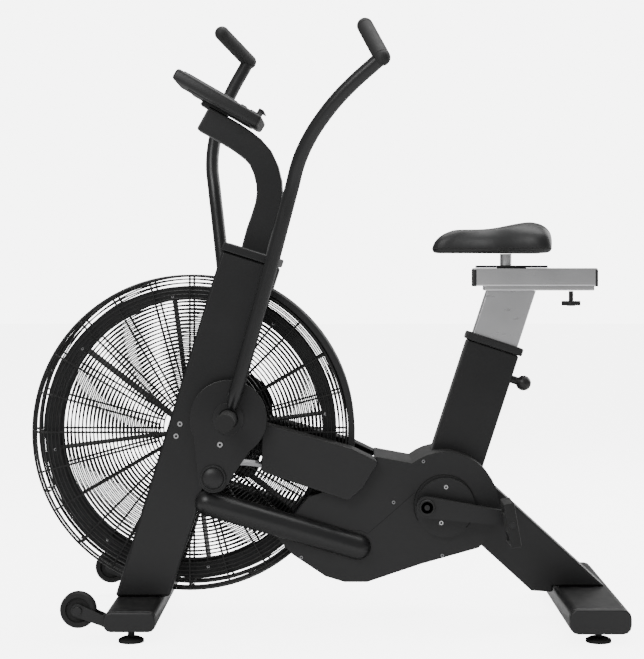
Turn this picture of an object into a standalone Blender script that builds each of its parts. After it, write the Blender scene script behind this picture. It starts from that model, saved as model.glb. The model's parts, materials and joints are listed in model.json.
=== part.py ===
"""An air bike: a fan wheel in a wire guard, driven by pedals and by two swinging arm levers.

Metres, +Z up. -X is the front (fan), +X the rear (saddle). The rider's left side is -Y.
The origin lies on the floor, in the middle of the machine.
"""
import math

import bmesh
import bpy
from mathutils import Matrix, Vector

GAP = 0.0003                # clearance between touching pieces
SIDES = {"left": -1.0, "right": 1.0}

# fan and guard
FAN_X = -0.280
FAN_Z = 0.399
GUARD_RADIUS = 0.3316
GUARD_HALF = 0.056          # half of the guard's width
GUARD_WIRE = 0.004
FAN_RIM_OUTER = 0.3075
FAN_RIM_INNER = 0.279
FAN_HALF = 0.040            # half of the fan wheel's width
FAN_HUB_RADIUS = 0.045
BLADES = 8
BLADE_THICK = 0.003
FIRST_BLADE = math.radians(7.5)
FAN_AXLE_RADIUS = 0.0085
FAN_BEARING_RADIUS = 0.0150
SHROUD_RADIUS = 0.347
SHROUD_START = math.radians(-6)
SHROUD_END = math.radians(66)

# uprights, mast and console
POST_INNER = 0.074
POST_OUTER = 0.114
POST_FOOT = (-0.374, 0.063)
POST_TOP = (-0.1517, 0.763)
POST_DEPTH_FOOT = 0.107
POST_DEPTH_TOP = 0.119
MAST_DEPTH = 0.055
MAST_HALF = 0.030
MAST_PATH = [(-0.148, 0.790), (-0.136, 0.8205), (-0.117, 0.878), (-0.115, 0.926), (-0.133, 0.978),
             (-0.169, 1.012), (-0.208, 1.0365), (-0.255, 1.0626)]
CONSOLE_CENTRE = (-0.2215, 1.0990)
CONSOLE_SIZE = (0.206, 0.170, 0.028)
CONSOLE_TILT = math.radians(30)

# ground frame
STAB_HALF = 0.262
CAP_THICK = 0.013
FRONT_STAB = (-0.380, 0.045, 0.102, 0.039)      # x, z, length, height of the section
REAR_STAB = (0.550, 0.0456, 0.1227, 0.0492)
FOOT_Y = 0.240
FOOT_RADIUS = 0.0257
FOOT_STEM = 0.007
WHEEL_X = -0.4844
WHEEL_Z = 0.0652
WHEEL_RADIUS = 0.0363
WHEEL_Y = 0.244
WHEEL_HALF = 0.011
WHEEL_BOLT = 0.005
SIDE_TUBE_RADIUS = 0.0268
SIDE_TUBE_FRONT = (-0.2367, 0.118, 0.2597)
SIDE_TUBE_REAR = (0.0725, 0.0942, 0.1649)

# crank and drive
CRANK_X = 0.2142
CRANK_Z = 0.2528
CRANK_LENGTH = 0.168
CRANK_DROP = math.radians(8.1)                  # the left arm points back and down
CRANK_AXLE = 0.012
ARM_INNER = 0.1235
ARM_THICK = 0.014
PEDAL_HALF = 0.045
PEDAL_INNER = 0.141
PEDAL_OUTER = 0.229
PEDAL_SPINDLE = 0.007
PEDAL_TURN = math.radians(80)                   # both pedals rest hanging on edge
CRANK_PULLEY = 0.062
FAN_PULLEY = 0.0185
IDLER = (0.088, 0.262, 0.015)                   # x, z, radius
BELT_Y = 0.0635
BELT_HALF = 0.006
BELT_THICK = 0.003
BELT_GAP = 0.0006
THROW = 0.024
ROD_RADIUS = 0.007
ROD_Y = 0.083
STRAP_CLEARANCE = 0.002
STRAP_INNER = THROW + CRANK_AXLE + STRAP_CLEARANCE
STRAP_OUTER = STRAP_INNER + 0.007
HOUSING_X = 0.2541
HOUSING_Z = 0.2507
HOUSING_RADIUS = 0.1114
HOUSING_HALF = 0.095
WALL = 0.003
FAIRING_INNER = 0.058
FAIRING_OUTER = 0.120
FAIRING_FRONT = -0.1265

# arm levers
PIVOT_X = -0.1935
PIVOT_Z = 0.4355
PEG_RADIUS = 0.019
PEG_END = 0.255
PLATE_INNER = 0.134
PLATE_THICK = 0.012
PLATE_RADIUS = 0.0793
PIN_BOSS = 0.031
PIN_X = -0.224
PIN_Z = 0.3143
PIN_RADIUS = 0.007
LEVER_RADIUS = 0.0145
LEVER_SWING = math.radians(22)                  # full travel of each lever
LEVER_PATH = [(-0.1775, 0.1615, 0.487), (-0.171, 0.162, 0.510), (-0.1372, 0.170, 0.631),
              (-0.1033, 0.180, 0.752), (-0.0820, 0.190, 0.830), (-0.0612, 0.200, 0.907),
              (-0.0467, 0.215, 0.9586), (-0.0244, 0.230, 1.0055), (0.0017, 0.245, 1.0441),
              (0.0280, 0.258, 1.076), (0.0572, 0.270, 1.1055), (0.1130, 0.2905, 1.1535)]
GRIP_OUTER = (0.1234, 0.305, 1.145)
GRIP_INNER = (0.0807, 0.210, 1.240)
GRIP_RADIUS = 0.0165

# saddle and its post
SEAT_TILT = math.radians(18.1)
SEAT_TUBE_TOP = (0.3600, 0.5755)
SEAT_TUBE_DEPTH = 0.114
SEAT_TUBE_HALF = 0.030
SEAT_TUBE_LENGTH = 0.290
SEAT_WALL = 0.004
COLLAR_HEIGHT = 0.017
SEAT_POST_DEPTH = 0.0985
SEAT_POST_HALF = 0.022
SEAT_POST_SHOWN = 0.125
SEAT_POST_HIDDEN = 0.150
LEG_DEPTH = 0.112
LEG_HALF = 0.030
RAIL = (0.3188, 0.5810, 0.7063, 0.7443)         # x from and to, z from and to
RAIL_HALF = 0.032
SLIDER_LENGTH = 0.150
STUB_X = 0.3888
SADDLE = (0.2188, 0.4864, 0.7743, 0.8425)       # x from and to, z from and to
KNOB_DROP = 0.052                               # pull pin below the tube's mouth
RAIL_KNOB_X = 0.528

parts = None
cutters = None


def start():
    """Empties the scene and makes the two collections."""
    global parts, cutters
    for obj in list(bpy.data.objects):
        bpy.data.objects.remove(obj)
    parts = bpy.data.collections.new("air_bike")
    cutters = bpy.data.collections.new("cutters")
    bpy.context.scene.collection.children.link(parts)
    bpy.context.scene.collection.children.link(cutters)


def material(name, colour, roughness, metallic):
    made = bpy.data.materials.new(name)
    made.use_nodes = True
    shader = made.node_tree.nodes["Principled BSDF"]
    shader.inputs["Base Color"].default_value = (*colour, 1.0)
    shader.inputs["Roughness"].default_value = roughness
    shader.inputs["Metallic"].default_value = metallic
    return made


def add(name, data, finish, smooth=True):
    """One named object in the model's collection."""
    obj = bpy.data.objects.new(name, data)
    parts.objects.link(obj)
    obj.data.materials.append(finish)
    if smooth and obj.type == "MESH":
        obj.data.shade_smooth()
        obj.data.set_sharp_from_angle(angle=math.radians(35))
    return obj


def mesh_from(bm, name):
    bmesh.ops.recalc_face_normals(bm, faces=bm.faces)
    data = bpy.data.meshes.new(name)
    bm.to_mesh(data)
    bm.free()
    return data


def arc(x, z, radius, start_angle, end_angle, count):
    """Points on an arc in the side view, ends included."""
    step = (end_angle - start_angle) / count
    return [(x + radius * math.cos(start_angle + step * i), z + radius * math.sin(start_angle + step * i))
            for i in range(count + 1)]


def circle(x, z, radius, count=32):
    return arc(x, z, radius, 0, 2 * math.pi * (count - 1) / count, count - 1)


def turned_about(point, angle, centre):
    """A side-view point turned about the centre; a positive angle takes +Z towards +X."""
    dx = point[0] - centre[0]
    dz = point[1] - centre[1]
    c = math.cos(angle)
    s = math.sin(angle)
    return (centre[0] + dx * c + dz * s, centre[1] - dx * s + dz * c)


def smooth_path(points, steps):
    """A Catmull-Rom curve through the points."""
    pts = [Vector(p) for p in points]
    ends = [2 * pts[0] - pts[1], *pts, 2 * pts[-1] - pts[-2]]
    out = []
    for i in range(1, len(ends) - 2):
        a, b, c, d = ends[i - 1:i + 3]
        for k in range(steps):
            t = k / steps
            out.append(0.5 * (2 * b + (c - a) * t + (2 * a - 5 * b + 4 * c - d) * t ** 2
                              + (3 * b - a - 3 * c + d) * t ** 3))
    out.append(pts[-1])
    return out


def slab_data(name, outlines, y_low, y_high, bevel=0.0):
    """Mesh of side-view outlines, the first the edge and the others holes, from y_low to y_high."""
    curve = bpy.data.curves.new(name, "CURVE")
    curve.dimensions = "2D"
    curve.fill_mode = "BOTH"
    curve.extrude = (y_high - y_low) / 2
    for outline in outlines:
        spline = curve.splines.new("POLY")
        spline.points.add(len(outline) - 1)
        for point, (x, z) in zip(spline.points, outline):
            point.co = (x, z, 0, 1)
        spline.use_cyclic_u = True
    holder = bpy.data.objects.new(name, curve)
    bpy.context.scene.collection.objects.link(holder)
    holder.matrix_world = Matrix.Translation((0, (y_low + y_high) / 2, 0)) @ Matrix.Rotation(math.pi / 2, 4, "X")
    bpy.context.view_layer.update()
    evaluated = holder.evaluated_get(bpy.context.evaluated_depsgraph_get())
    data = bpy.data.meshes.new_from_object(evaluated)
    data.transform(holder.matrix_world)
    bpy.data.objects.remove(holder)
    bm = bmesh.new()
    bm.from_mesh(data)
    bmesh.ops.remove_doubles(bm, verts=bm.verts, dist=0.00001)
    if bevel:
        edges = [e for e in bm.edges if e.calc_face_angle(0) > 1.0]
        bmesh.ops.bevel(bm, geom=edges, offset=bevel, segments=2, profile=0.5, affect="EDGES")
    return mesh_from(bm, name)


def slab(name, outlines, y_low, y_high, finish, bevel=0.0):
    return add(name, slab_data(name, outlines, y_low, y_high, bevel), finish)


def rounded(corners, radius, steps=3):
    """An outline with each corner rounded."""
    out = []
    count = len(corners)
    for i in range(count):
        here = Vector(corners[i])
        before = (Vector(corners[i - 1]) - here).normalized()
        after = (Vector(corners[(i + 1) % count]) - here).normalized()
        half = before.angle(after) / 2
        run = radius / math.tan(half)
        centre = here + (before + after).normalized() * (radius / math.sin(half))
        first = here + before * run - centre
        last = here + after * run - centre
        begin = math.atan2(first.y, first.x)
        sweep = math.remainder(math.atan2(last.y, last.x) - begin, 2 * math.pi)
        out += arc(centre.x, centre.y, radius, begin, begin + sweep, steps)
    return out


def bar(top, bottom, depth_top, depth_bottom):
    """The side outline of a straight tube between two centre points."""
    along = (Vector(top) - Vector(bottom)).normalized()
    across = Vector((along.y, -along.x))
    return [tuple(Vector(bottom) - across * depth_bottom / 2), tuple(Vector(bottom) + across * depth_bottom / 2),
            tuple(Vector(top) + across * depth_top / 2), tuple(Vector(top) - across * depth_top / 2)]


def turned_data(name, profile, steps=32):
    """A profile of (radius, y), closed, spun about the Y axis by a Screw modifier."""
    mesh = bpy.data.meshes.new(name)
    count = len(profile)
    mesh.from_pydata([(r, y, 0) for r, y in profile], [(i, (i + 1) % count) for i in range(count)], [])
    holder = bpy.data.objects.new(name, mesh)
    bpy.context.scene.collection.objects.link(holder)
    screw = holder.modifiers.new("spin", "SCREW")
    screw.axis = "Y"
    screw.steps = steps
    screw.render_steps = steps
    screw.use_merge_vertices = True
    screw.merge_threshold = 0.00001
    bpy.context.view_layer.update()
    evaluated = holder.evaluated_get(bpy.context.evaluated_depsgraph_get())
    data = bpy.data.meshes.new_from_object(evaluated)
    bpy.data.objects.remove(holder)
    bm = bmesh.new()
    bm.from_mesh(data)
    bmesh.ops.remove_doubles(bm, verts=bm.verts, dist=0.00001)
    bmesh.ops.delete(bm, geom=[e for e in bm.edges if e.is_wire], context="EDGES")
    return mesh_from(bm, name)


def solid_profile(steps_):
    """A closed profile for a solid turned piece from (radius, y) steps, on the axis at both ends."""
    return [(0, steps_[0][1]), *steps_, (0, steps_[-1][1])]


def turned(name, profile, finish, place=(0, 0, 0), steps=32):
    data = turned_data(name, profile, steps)
    obj = add(name, data, finish)
    obj.location = place
    return obj


def joined(name, datas, finish):
    """Several separate solids in one node."""
    bm = bmesh.new()
    for data in datas:
        bm.from_mesh(data)
    return add(name, mesh_from(bm, name), finish)


def moved(data, offset, turn=None):
    if turn is not None:
        data.transform(turn)
    data.transform(Matrix.Translation(offset))
    return data


def mirrored(data):
    """The same piece for the right side."""
    copy = data.copy()
    copy.transform(Matrix.Scale(-1, 4, (0, 1, 0)))
    copy.flip_normals()
    return copy


def tube_data(name, points, radius, resolution=2):
    curve = bpy.data.curves.new(name, "CURVE")
    curve.dimensions = "3D"
    curve.bevel_depth = radius
    curve.bevel_resolution = resolution
    curve.use_fill_caps = True
    spline = curve.splines.new("POLY")
    spline.points.add(len(points) - 1)
    for point, co in zip(spline.points, points):
        point.co = (*co, 1)
    holder = bpy.data.objects.new(name, curve)
    bpy.context.scene.collection.objects.link(holder)
    bpy.context.view_layer.update()
    evaluated = holder.evaluated_get(bpy.context.evaluated_depsgraph_get())
    data = bpy.data.meshes.new_from_object(evaluated)
    bpy.data.objects.remove(holder)
    bm = bmesh.new()
    bm.from_mesh(data)
    bmesh.ops.remove_doubles(bm, verts=bm.verts, dist=0.00001)
    return mesh_from(bm, name)


def combine(obj, data, operation):
    """Cuts a mesh out of an object, or joins it on, and keeps the result."""
    cutter = bpy.data.objects.new(obj.name + "_tool", data)
    cutters.objects.link(cutter)
    cutter.hide_render = True
    cutter.display_type = "WIRE"
    change = obj.modifiers.new(operation.lower(), "BOOLEAN")
    change.operation = operation
    change.solver = "EXACT"
    change.object = cutter
    return obj


def cut(obj, data):
    return combine(obj, data, "DIFFERENCE")


def join_on(obj, data):
    return combine(obj, data, "UNION")


def box_data(name, size, centre, turn=0.0, bevel=0.0):
    bm = bmesh.new()
    bmesh.ops.create_cube(bm, size=1.0)
    bmesh.ops.scale(bm, vec=size, verts=bm.verts)
    if bevel:
        bmesh.ops.bevel(bm, geom=bm.edges[:], offset=bevel, segments=2, profile=0.5, affect="EDGES")
    data = mesh_from(bm, name)
    return moved(data, centre, Matrix.Rotation(turn, 4, "Y"))


def span(side, near, far):
    """Low and high y for a stretch given as distances from the middle plane."""
    low, high = sorted((side * near, side * far))
    return low, high


# ---------------------------------------------------------------- fan and guard

def fan_wheel(finish):
    """Two flat rims joined by flat radial blades, on a hub."""
    rim = turned_data("rim", [(FAN_RIM_INNER, -FAN_HALF), (FAN_RIM_OUTER, -FAN_HALF),
                              (FAN_RIM_OUTER, -FAN_HALF + 0.003), (FAN_RIM_INNER, -FAN_HALF + 0.003)], 36)
    bore = FAN_BEARING_RADIUS + GAP
    hub = turned_data("hub", [(bore, -FAN_HALF), (FAN_HUB_RADIUS, -FAN_HALF),
                              (FAN_HUB_RADIUS, FAN_HALF), (bore, FAN_HALF)], 24)
    wheel = add("fan_wheel", moved(rim, (FAN_X, 0, FAN_Z)), finish)
    join_on(wheel, mirrored(wheel.data))
    join_on(wheel, moved(hub, (FAN_X, 0, FAN_Z)))
    blade_start = FAN_HUB_RADIUS - 0.004
    blade_end = FAN_RIM_OUTER - 0.006
    for i in range(BLADES):
        angle = FIRST_BLADE + 2 * math.pi * i / BLADES
        middle = (blade_start + blade_end) / 2
        blade = box_data("blade", (blade_end - blade_start, 2 * FAN_HALF - 0.002, BLADE_THICK), (middle, 0, 0))
        join_on(wheel, moved(blade, (FAN_X, 0, FAN_Z), Matrix.Rotation(-angle, 4, "Y")))
    return wheel


def guard_windows():
    """Sector openings between the guard's rings and spokes."""
    rings = [0.060, 0.150, 0.240, GUARD_RADIUS]
    spokes = 8
    half_wire = GUARD_WIRE
    holes = [circle(FAN_X, FAN_Z, 0.030, 20)]
    for inner, outer in zip(rings, rings[1:]):
        for i in range(spokes):
            a = 2 * math.pi * i / spokes
            b = 2 * math.pi * (i + 1) / spokes
            low = inner + half_wire
            high = outer - half_wire
            outer_arc = arc(FAN_X, FAN_Z, high, a + half_wire / high, b - half_wire / high, 3)
            inner_arc = arc(FAN_X, FAN_Z, low, b - half_wire / low, a + half_wire / low, 2)
            holes.append(outer_arc + inner_arc)
    return holes


def guard(name, side, finish):
    """Half of the wire basket: a side grille and half of the rim."""
    low, high = span(side, GUARD_HALF - GUARD_WIRE, GUARD_HALF)
    obj = slab(name, [circle(FAN_X, FAN_Z, GUARD_RADIUS, 40), *guard_windows()], low, high, finish)
    low, high = span(side, GAP, GUARD_HALF - GUARD_WIRE / 2)
    rim = [circle(FAN_X, FAN_Z, GUARD_RADIUS, 40), circle(FAN_X, FAN_Z, GUARD_RADIUS - GUARD_WIRE, 40)]
    return join_on(obj, slab_data("rim", rim, low, high))


def fan_bearing(finish):
    """A sleeve between the still axle and the turning hub."""
    end = FAN_HALF + 0.004
    profile = [(FAN_AXLE_RADIUS + GAP, -end), (FAN_BEARING_RADIUS, -end), (FAN_BEARING_RADIUS, end),
               (FAN_AXLE_RADIUS + GAP, end)]
    return turned("fan_bearing", profile, finish, (FAN_X, 0, FAN_Z), 24)


def wind_shroud(finish):
    outline = arc(FAN_X, FAN_Z, SHROUD_RADIUS, SHROUD_START, SHROUD_END, 20)
    outline += arc(FAN_X, FAN_Z, GUARD_RADIUS + 0.001, SHROUD_END, SHROUD_START, 20)
    return slab("wind_shroud", [outline], -GUARD_HALF, GUARD_HALF, finish)


def fan_axle(finish):
    end = POST_INNER - GAP
    return turned("fan_axle", solid_profile([(FAN_AXLE_RADIUS, -end), (FAN_AXLE_RADIUS, end)]), finish,
                  (FAN_X, 0, FAN_Z), 24)


# ---------------------------------------------------------------- frame

def post(name, side, finish):
    along = (Vector(POST_TOP) - Vector(POST_FOOT)).normalized()
    across = Vector((along.y, -along.x))
    stab_top = FRONT_STAB[1] + FRONT_STAB[3] / 2 + GAP
    corners = []
    for top, depth in ((Vector(POST_TOP), POST_DEPTH_TOP), (Vector(POST_FOOT), POST_DEPTH_FOOT)):
        corners.append([top - across * depth / 2, top + across * depth / 2])
    left_top, right_top = corners[0]
    feet = []
    for edge_top, edge_foot in ((left_top, corners[1][0]), (right_top, corners[1][1])):
        slope = (edge_top.x - edge_foot.x) / (edge_top.y - edge_foot.y)
        feet.append((edge_foot.x + (stab_top - edge_foot.y) * slope, stab_top))
    outline = [feet[0], feet[1], tuple(right_top), tuple(left_top)]
    low, high = span(side, POST_INNER, POST_OUTER)
    return slab(name, [outline], low, high, finish, 0.006)


def mast_direction():
    return (Vector(POST_TOP) - Vector(POST_FOOT)).normalized()


def mast_collar_data():
    """The cap over both uprights that the mast stands on."""
    along = mast_direction()
    middle = Vector(POST_TOP) + along * (0.009 + GAP)
    lean = math.atan2(along.x, along.y)
    size = (POST_DEPTH_TOP + 0.004, 2 * POST_OUTER + 0.004, 0.018)
    return box_data("collar", size, (middle.x, 0, middle.y), lean, 0.003)


def mast(finish):
    """The outline follows the curved centre line at a constant depth."""
    along = mast_direction()
    foot = Vector(POST_TOP) + along * 0.010
    centre = smooth_path([foot, *[Vector(p) for p in MAST_PATH[1:]]], 2)
    left = []
    right = []
    for i, point in enumerate(centre):
        ahead = centre[min(i + 1, len(centre) - 1)]
        behind = centre[max(i - 1, 0)]
        direction = along if i == 0 else (ahead - behind).normalized()
        across = Vector((direction.y, -direction.x)) * MAST_DEPTH / 2
        left.append(tuple(point - across))
        right.append(tuple(point + across))
    obj = slab("mast", [right + left[::-1]], -MAST_HALF, MAST_HALF, finish, 0.004)
    join_on(obj, console_bracket_data())
    return join_on(obj, mast_collar_data())


def stabilizer(name, place, finish):
    x, z, length, height = place
    corners = [(x - length / 2, z - height / 2), (x + length / 2, z - height / 2),
               (x + length / 2, z + height / 2), (x - length / 2, z + height / 2)]
    return slab(name, [rounded(corners, height * 0.35)], -STAB_HALF, STAB_HALF, finish)


def stabilizer_cap(name, place, side, finish):
    x, z, length, height = place
    corners = [(x - length / 2, z - height / 2), (x + length / 2, z - height / 2),
               (x + length / 2, z + height / 2), (x - length / 2, z + height / 2)]
    low, high = span(side, STAB_HALF + GAP, STAB_HALF + CAP_THICK)
    return slab(name, [rounded(corners, height * 0.35)], low, high, finish)


def foot(name, place, side, finish):
    """A round pad on a threaded stem."""
    x, z, _, height = place
    under = z - height / 2 - GAP
    profile = solid_profile([(FOOT_RADIUS, 0), (FOOT_RADIUS, 0.006), (FOOT_RADIUS * 0.7, 0.010),
                             (FOOT_STEM, 0.011), (FOOT_STEM, under)])
    data = turned_data(name, profile, 24)
    return add(name, moved(data, (x, side * FOOT_Y, 0), Matrix.Rotation(math.pi / 2, 4, "X")), finish)


def wheel(name, side, finish):
    profile = [(WHEEL_BOLT + GAP, -WHEEL_HALF), (WHEEL_RADIUS - 0.003, -WHEEL_HALF),
               (WHEEL_RADIUS, -WHEEL_HALF + 0.003), (WHEEL_RADIUS, WHEEL_HALF - 0.003),
               (WHEEL_RADIUS - 0.003, WHEEL_HALF), (WHEEL_BOLT + GAP, WHEEL_HALF)]
    return turned(name, profile, finish, (WHEEL_X, side * WHEEL_Y, WHEEL_Z), 24)


def wheel_fork_outline():
    front = FRONT_STAB[0] - FRONT_STAB[2] / 2 - GAP
    low = FRONT_STAB[1] - 0.012
    high = FRONT_STAB[1] + 0.010
    return [(front, low), (front, high), *arc(WHEEL_X, WHEEL_Z, 0.013, math.radians(75), math.radians(255), 8)]


def wheel_bracket(name, side, finish):
    """Two ears, the web behind them and the bolt that the wheel turns on."""
    middle = side * WHEEL_Y
    inside = WHEEL_HALF + 0.0015
    outline = wheel_fork_outline()
    obj = slab(name, [outline], middle + inside, middle + inside + 0.003, finish)
    join_on(obj, slab_data("ear", [outline], middle - inside - 0.003, middle - inside))
    web_x = FRONT_STAB[0] - FRONT_STAB[2] / 2 - GAP - 0.002
    join_on(obj, box_data("web", (0.004, 2 * inside + 0.006, 0.022), (web_x, middle, FRONT_STAB[1] - 0.001)))
    end = inside + 0.009
    bolt = [(0.009, -end), (0.009, -end + 0.007), (WHEEL_BOLT, -end + 0.007),
            (WHEEL_BOLT, end - 0.007), (0.009, end - 0.007), (0.009, end)]
    return join_on(obj, moved(turned_data("bolt", solid_profile(bolt), 12), (WHEEL_X, middle, WHEEL_Z)))


def side_tube_data(side, radius):
    """A straight tube with round ends, from the upright back into the housing."""
    front = Vector((SIDE_TUBE_FRONT[0], side * SIDE_TUBE_FRONT[1], SIDE_TUBE_FRONT[2]))
    rear = Vector((SIDE_TUBE_REAR[0], side * SIDE_TUBE_REAR[1], SIDE_TUBE_REAR[2]))
    length = (rear - front).length
    steps = 4
    profile = [(0, -radius)]
    for i in range(1, steps + 1):
        a = math.pi / 2 * i / steps
        profile.append((radius * math.sin(a), -radius * math.cos(a)))
    for i in range(steps):
        a = math.pi / 2 * i / steps
        profile.append((radius * math.cos(a), length + radius * math.sin(a)))
    profile.append((0, length + radius))
    data = turned_data("side_tube", profile, 16)
    turn = Vector((0, 1, 0)).rotation_difference(rear - front).to_matrix().to_4x4()
    return moved(data, front, turn)


def side_tube(name, side, finish):
    obj = add(name, side_tube_data(side, SIDE_TUBE_RADIUS), finish)
    outline = bar(POST_TOP, POST_FOOT, POST_DEPTH_TOP + 2 * GAP, POST_DEPTH_FOOT + 2 * GAP)
    low, high = span(side, POST_INNER - 0.02, POST_OUTER + GAP)
    return cut(obj, slab_data("post_space", [outline], low, high))


def crossbar(finish):
    """The hidden frame: a tube between the side tubes, a beam, and the crank's bearing shell."""
    reach = SIDE_TUBE_REAR[1] - SIDE_TUBE_RADIUS - 0.003
    bar_x = SIDE_TUBE_REAR[0] - 0.012
    bar_z = SIDE_TUBE_REAR[2] + 0.004
    profile = solid_profile([(0.016, -reach), (0.016, reach)])
    obj = add("crossbar", moved(turned_data("crossbar", profile, 20), (bar_x, 0, bar_z)), finish)
    outline = bar((CRANK_X - 0.020, CRANK_Z - 0.012), (bar_x, bar_z), 0.050, 0.040)
    join_on(obj, slab_data("beam", [outline], -0.020, 0.020))
    join_on(obj, slab_data("shell", [circle(CRANK_X, CRANK_Z, 0.028, 24)], -0.045, 0.045))
    x, z, _ = IDLER
    join_on(obj, slab_data("idler_arm", [bar((x, z), (x + 0.030, z - 0.070), 0.020, 0.024)], -0.006, 0.006))
    join_on(obj, slab_data("idler_end", [circle(x, z, 0.011, 20)], -0.0075, 0.0075))
    cut(obj, slab_data("idler_bore", [circle(x, z, 0.004 + GAP, 16)], -0.02, 0.02))
    return cut(obj, slab_data("shell_bore", [circle(CRANK_X, CRANK_Z, 0.0160, 24)], -0.05, 0.05))


def crank_bearing(finish):
    """The cartridge between the crank axle and its shell."""
    profile = [(CRANK_AXLE + GAP, -0.044), (0.0155, -0.044), (0.0155, 0.044), (CRANK_AXLE + GAP, 0.044)]
    return turned("crank_bearing", profile, finish, (CRANK_X, 0, CRANK_Z), 24)


def seat_axis():
    return Vector((math.sin(SEAT_TILT), 0, math.cos(SEAT_TILT)))


def seat_box(name, depth, half, top_shift, length, bevel=0.0):
    """A box along the seat tube; top_shift is how far its top is above the tube's mouth."""
    mouth = Vector((SEAT_TUBE_TOP[0], 0, SEAT_TUBE_TOP[1]))
    centre = mouth + seat_axis() * (top_shift - length / 2)
    return box_data(name, (depth, 2 * half, length), centre, SEAT_TILT, bevel)


def seat_tube(finish):
    obj = add("seat_tube", seat_box("seat_tube", SEAT_TUBE_DEPTH, SEAT_TUBE_HALF, 0, SEAT_TUBE_LENGTH, 0.004), finish)
    inner_half = SEAT_POST_HALF + 0.0015
    inner_depth = SEAT_POST_DEPTH + 0.003
    cut(obj, seat_box("bore", inner_depth, inner_half, 0.01, SEAT_TUBE_LENGTH - 0.01))
    hole = turned_data("hole", solid_profile([(0.0065, -0.03), (0.0065, 0.03)]), 16)
    return cut(obj, moved(hole, pin_point(SEAT_TUBE_DEPTH / 2), pin_turn()))


def pin_turn():
    return Vector((0, 1, 0)).rotation_difference(pin_axis()).to_matrix().to_4x4()


def pin_axis():
    return Vector((math.cos(SEAT_TILT), 0, -math.sin(SEAT_TILT)))


def pin_point(distance):
    """A point on the pull pin's axis, at a distance behind the seat tube's centre line."""
    mouth = Vector((SEAT_TUBE_TOP[0], 0, SEAT_TUBE_TOP[1]))
    return mouth - seat_axis() * KNOB_DROP + pin_axis() * distance


def seat_collar(finish):
    obj = add("seat_collar", seat_box("seat_collar", SEAT_TUBE_DEPTH + 0.010, SEAT_TUBE_HALF + 0.005,
                                      COLLAR_HEIGHT + GAP, COLLAR_HEIGHT, 0.003), finish)
    return cut(obj, seat_box("mouth", SEAT_POST_DEPTH + 0.0012, SEAT_POST_HALF + 0.0006, 0.05, 0.1))


def rear_leg_outline(grow=0.0):
    angle = math.radians(42.3)
    along = Vector((math.cos(angle), -math.sin(angle)))
    across = Vector((math.sin(angle), math.cos(angle))) * (LEG_DEPTH / 2 + grow)
    start_point = Vector((0.3150, 0.2510))
    stab_top = REAR_STAB[1] + REAR_STAB[3] / 2 + GAP
    stab_front = REAR_STAB[0] - REAR_STAB[2] / 2 - GAP
    upper = start_point + across
    lower = start_point - across
    top_end = upper + along * ((upper.y - stab_top) / math.sin(angle))
    low_end = lower + along * ((lower.y - 0.061) / math.sin(angle))
    return [tuple(upper), tuple(lower), tuple(low_end), (stab_front - 0.002, 0.058), (stab_front - 0.002, stab_top),
            tuple(top_end)]


def rear_leg(finish):
    obj = slab("rear_leg", [rear_leg_outline()], -LEG_HALF, LEG_HALF, finish, 0.005)
    return cut(obj, seat_box("seat_space", SEAT_TUBE_DEPTH + 2 * GAP, SEAT_TUBE_HALF + 0.02, 0.01,
                             SEAT_TUBE_LENGTH + 0.01 + GAP))


# ---------------------------------------------------------------- covers

def housing_outline():
    """The round crank end, and the belly that runs forward under the fairing."""
    ring = arc(HOUSING_X, HOUSING_Z, HOUSING_RADIUS, math.radians(-52), math.radians(128), 20)
    front = [(0.112, 0.352), (0.060, 0.330), (0.010, 0.282), (-0.030, 0.268), (-0.0960, 0.185), (-0.0640, 0.150),
             (0.005, 0.104), (0.045, 0.092), (0.092, 0.092), (0.205, 0.130)]
    return ring + front


def fairing_outline(grow=0.0):
    """A long cover from behind the lever plate down to the crank housing."""
    return rounded([(FAIRING_FRONT - grow, 0.3235 - grow), (0.052, 0.264 - grow), (0.082 + grow, 0.2900 - grow),
                    (0.116 + grow, 0.345 + grow), (0.060, 0.372 + grow), (FAIRING_FRONT - grow, 0.4245 + grow)], 0.008)


def housing(name, side, finish):
    bm = bmesh.new()
    face_y = side * HOUSING_HALF
    edge_y = side * 0.0003
    outline = housing_outline()
    outer = [bm.verts.new((x, face_y, z)) for x, z in outline]
    inner = [bm.verts.new((x, edge_y, z)) for x, z in outline]
    face = bm.faces.new(outer)
    count = len(outline)
    for i in range(count):
        j = (i + 1) % count
        bm.faces.new((outer[i], outer[j], inner[j], inner[i]))
    bmesh.ops.recalc_face_normals(bm, faces=bm.faces)
    if face.normal.y * side < 0:
        bmesh.ops.reverse_faces(bm, faces=bm.faces)
    data = bpy.data.meshes.new(name)
    bm.to_mesh(data)
    bm.free()
    obj = add(name, data, finish)
    shell = obj.modifiers.new("wall", "SOLIDIFY")
    shell.thickness = WALL
    shell.offset = -1
    shell.use_even_offset = True
    low, high = span(side, -0.01, FAIRING_OUTER + 0.02)
    cut(obj, slab_data("fairing_space", [fairing_outline(0.0008)], low, high))
    cut(obj, side_tube_data(side, SIDE_TUBE_RADIUS + 0.0006))
    cut(obj, seat_box("tube_space", SEAT_TUBE_DEPTH + 0.0012, SEAT_TUBE_HALF + 0.0006, 0.01, SEAT_TUBE_LENGTH + 0.02))
    cut(obj, slab_data("leg_space", [rear_leg_outline(0.0006)], -LEG_HALF - 0.0006, LEG_HALF + 0.0006))
    clear = GUARD_HALF + 0.0006
    cut(obj, slab_data("guard_space", [circle(FAN_X, FAN_Z, GUARD_RADIUS + 0.003, 64)], -clear, clear))
    low, high = span(side, HOUSING_HALF - WALL / 2, HOUSING_HALF + 0.010)
    join_on(obj, slab_data("cover", [circle(CRANK_X + 0.040, CRANK_Z - 0.005, 0.0615, 40)], low, high))
    low, high = span(side, 0.05, 0.12)
    return cut(obj, slab_data("axle_space", [circle(CRANK_X, CRANK_Z, 0.018, 24)], low, high))


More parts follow.
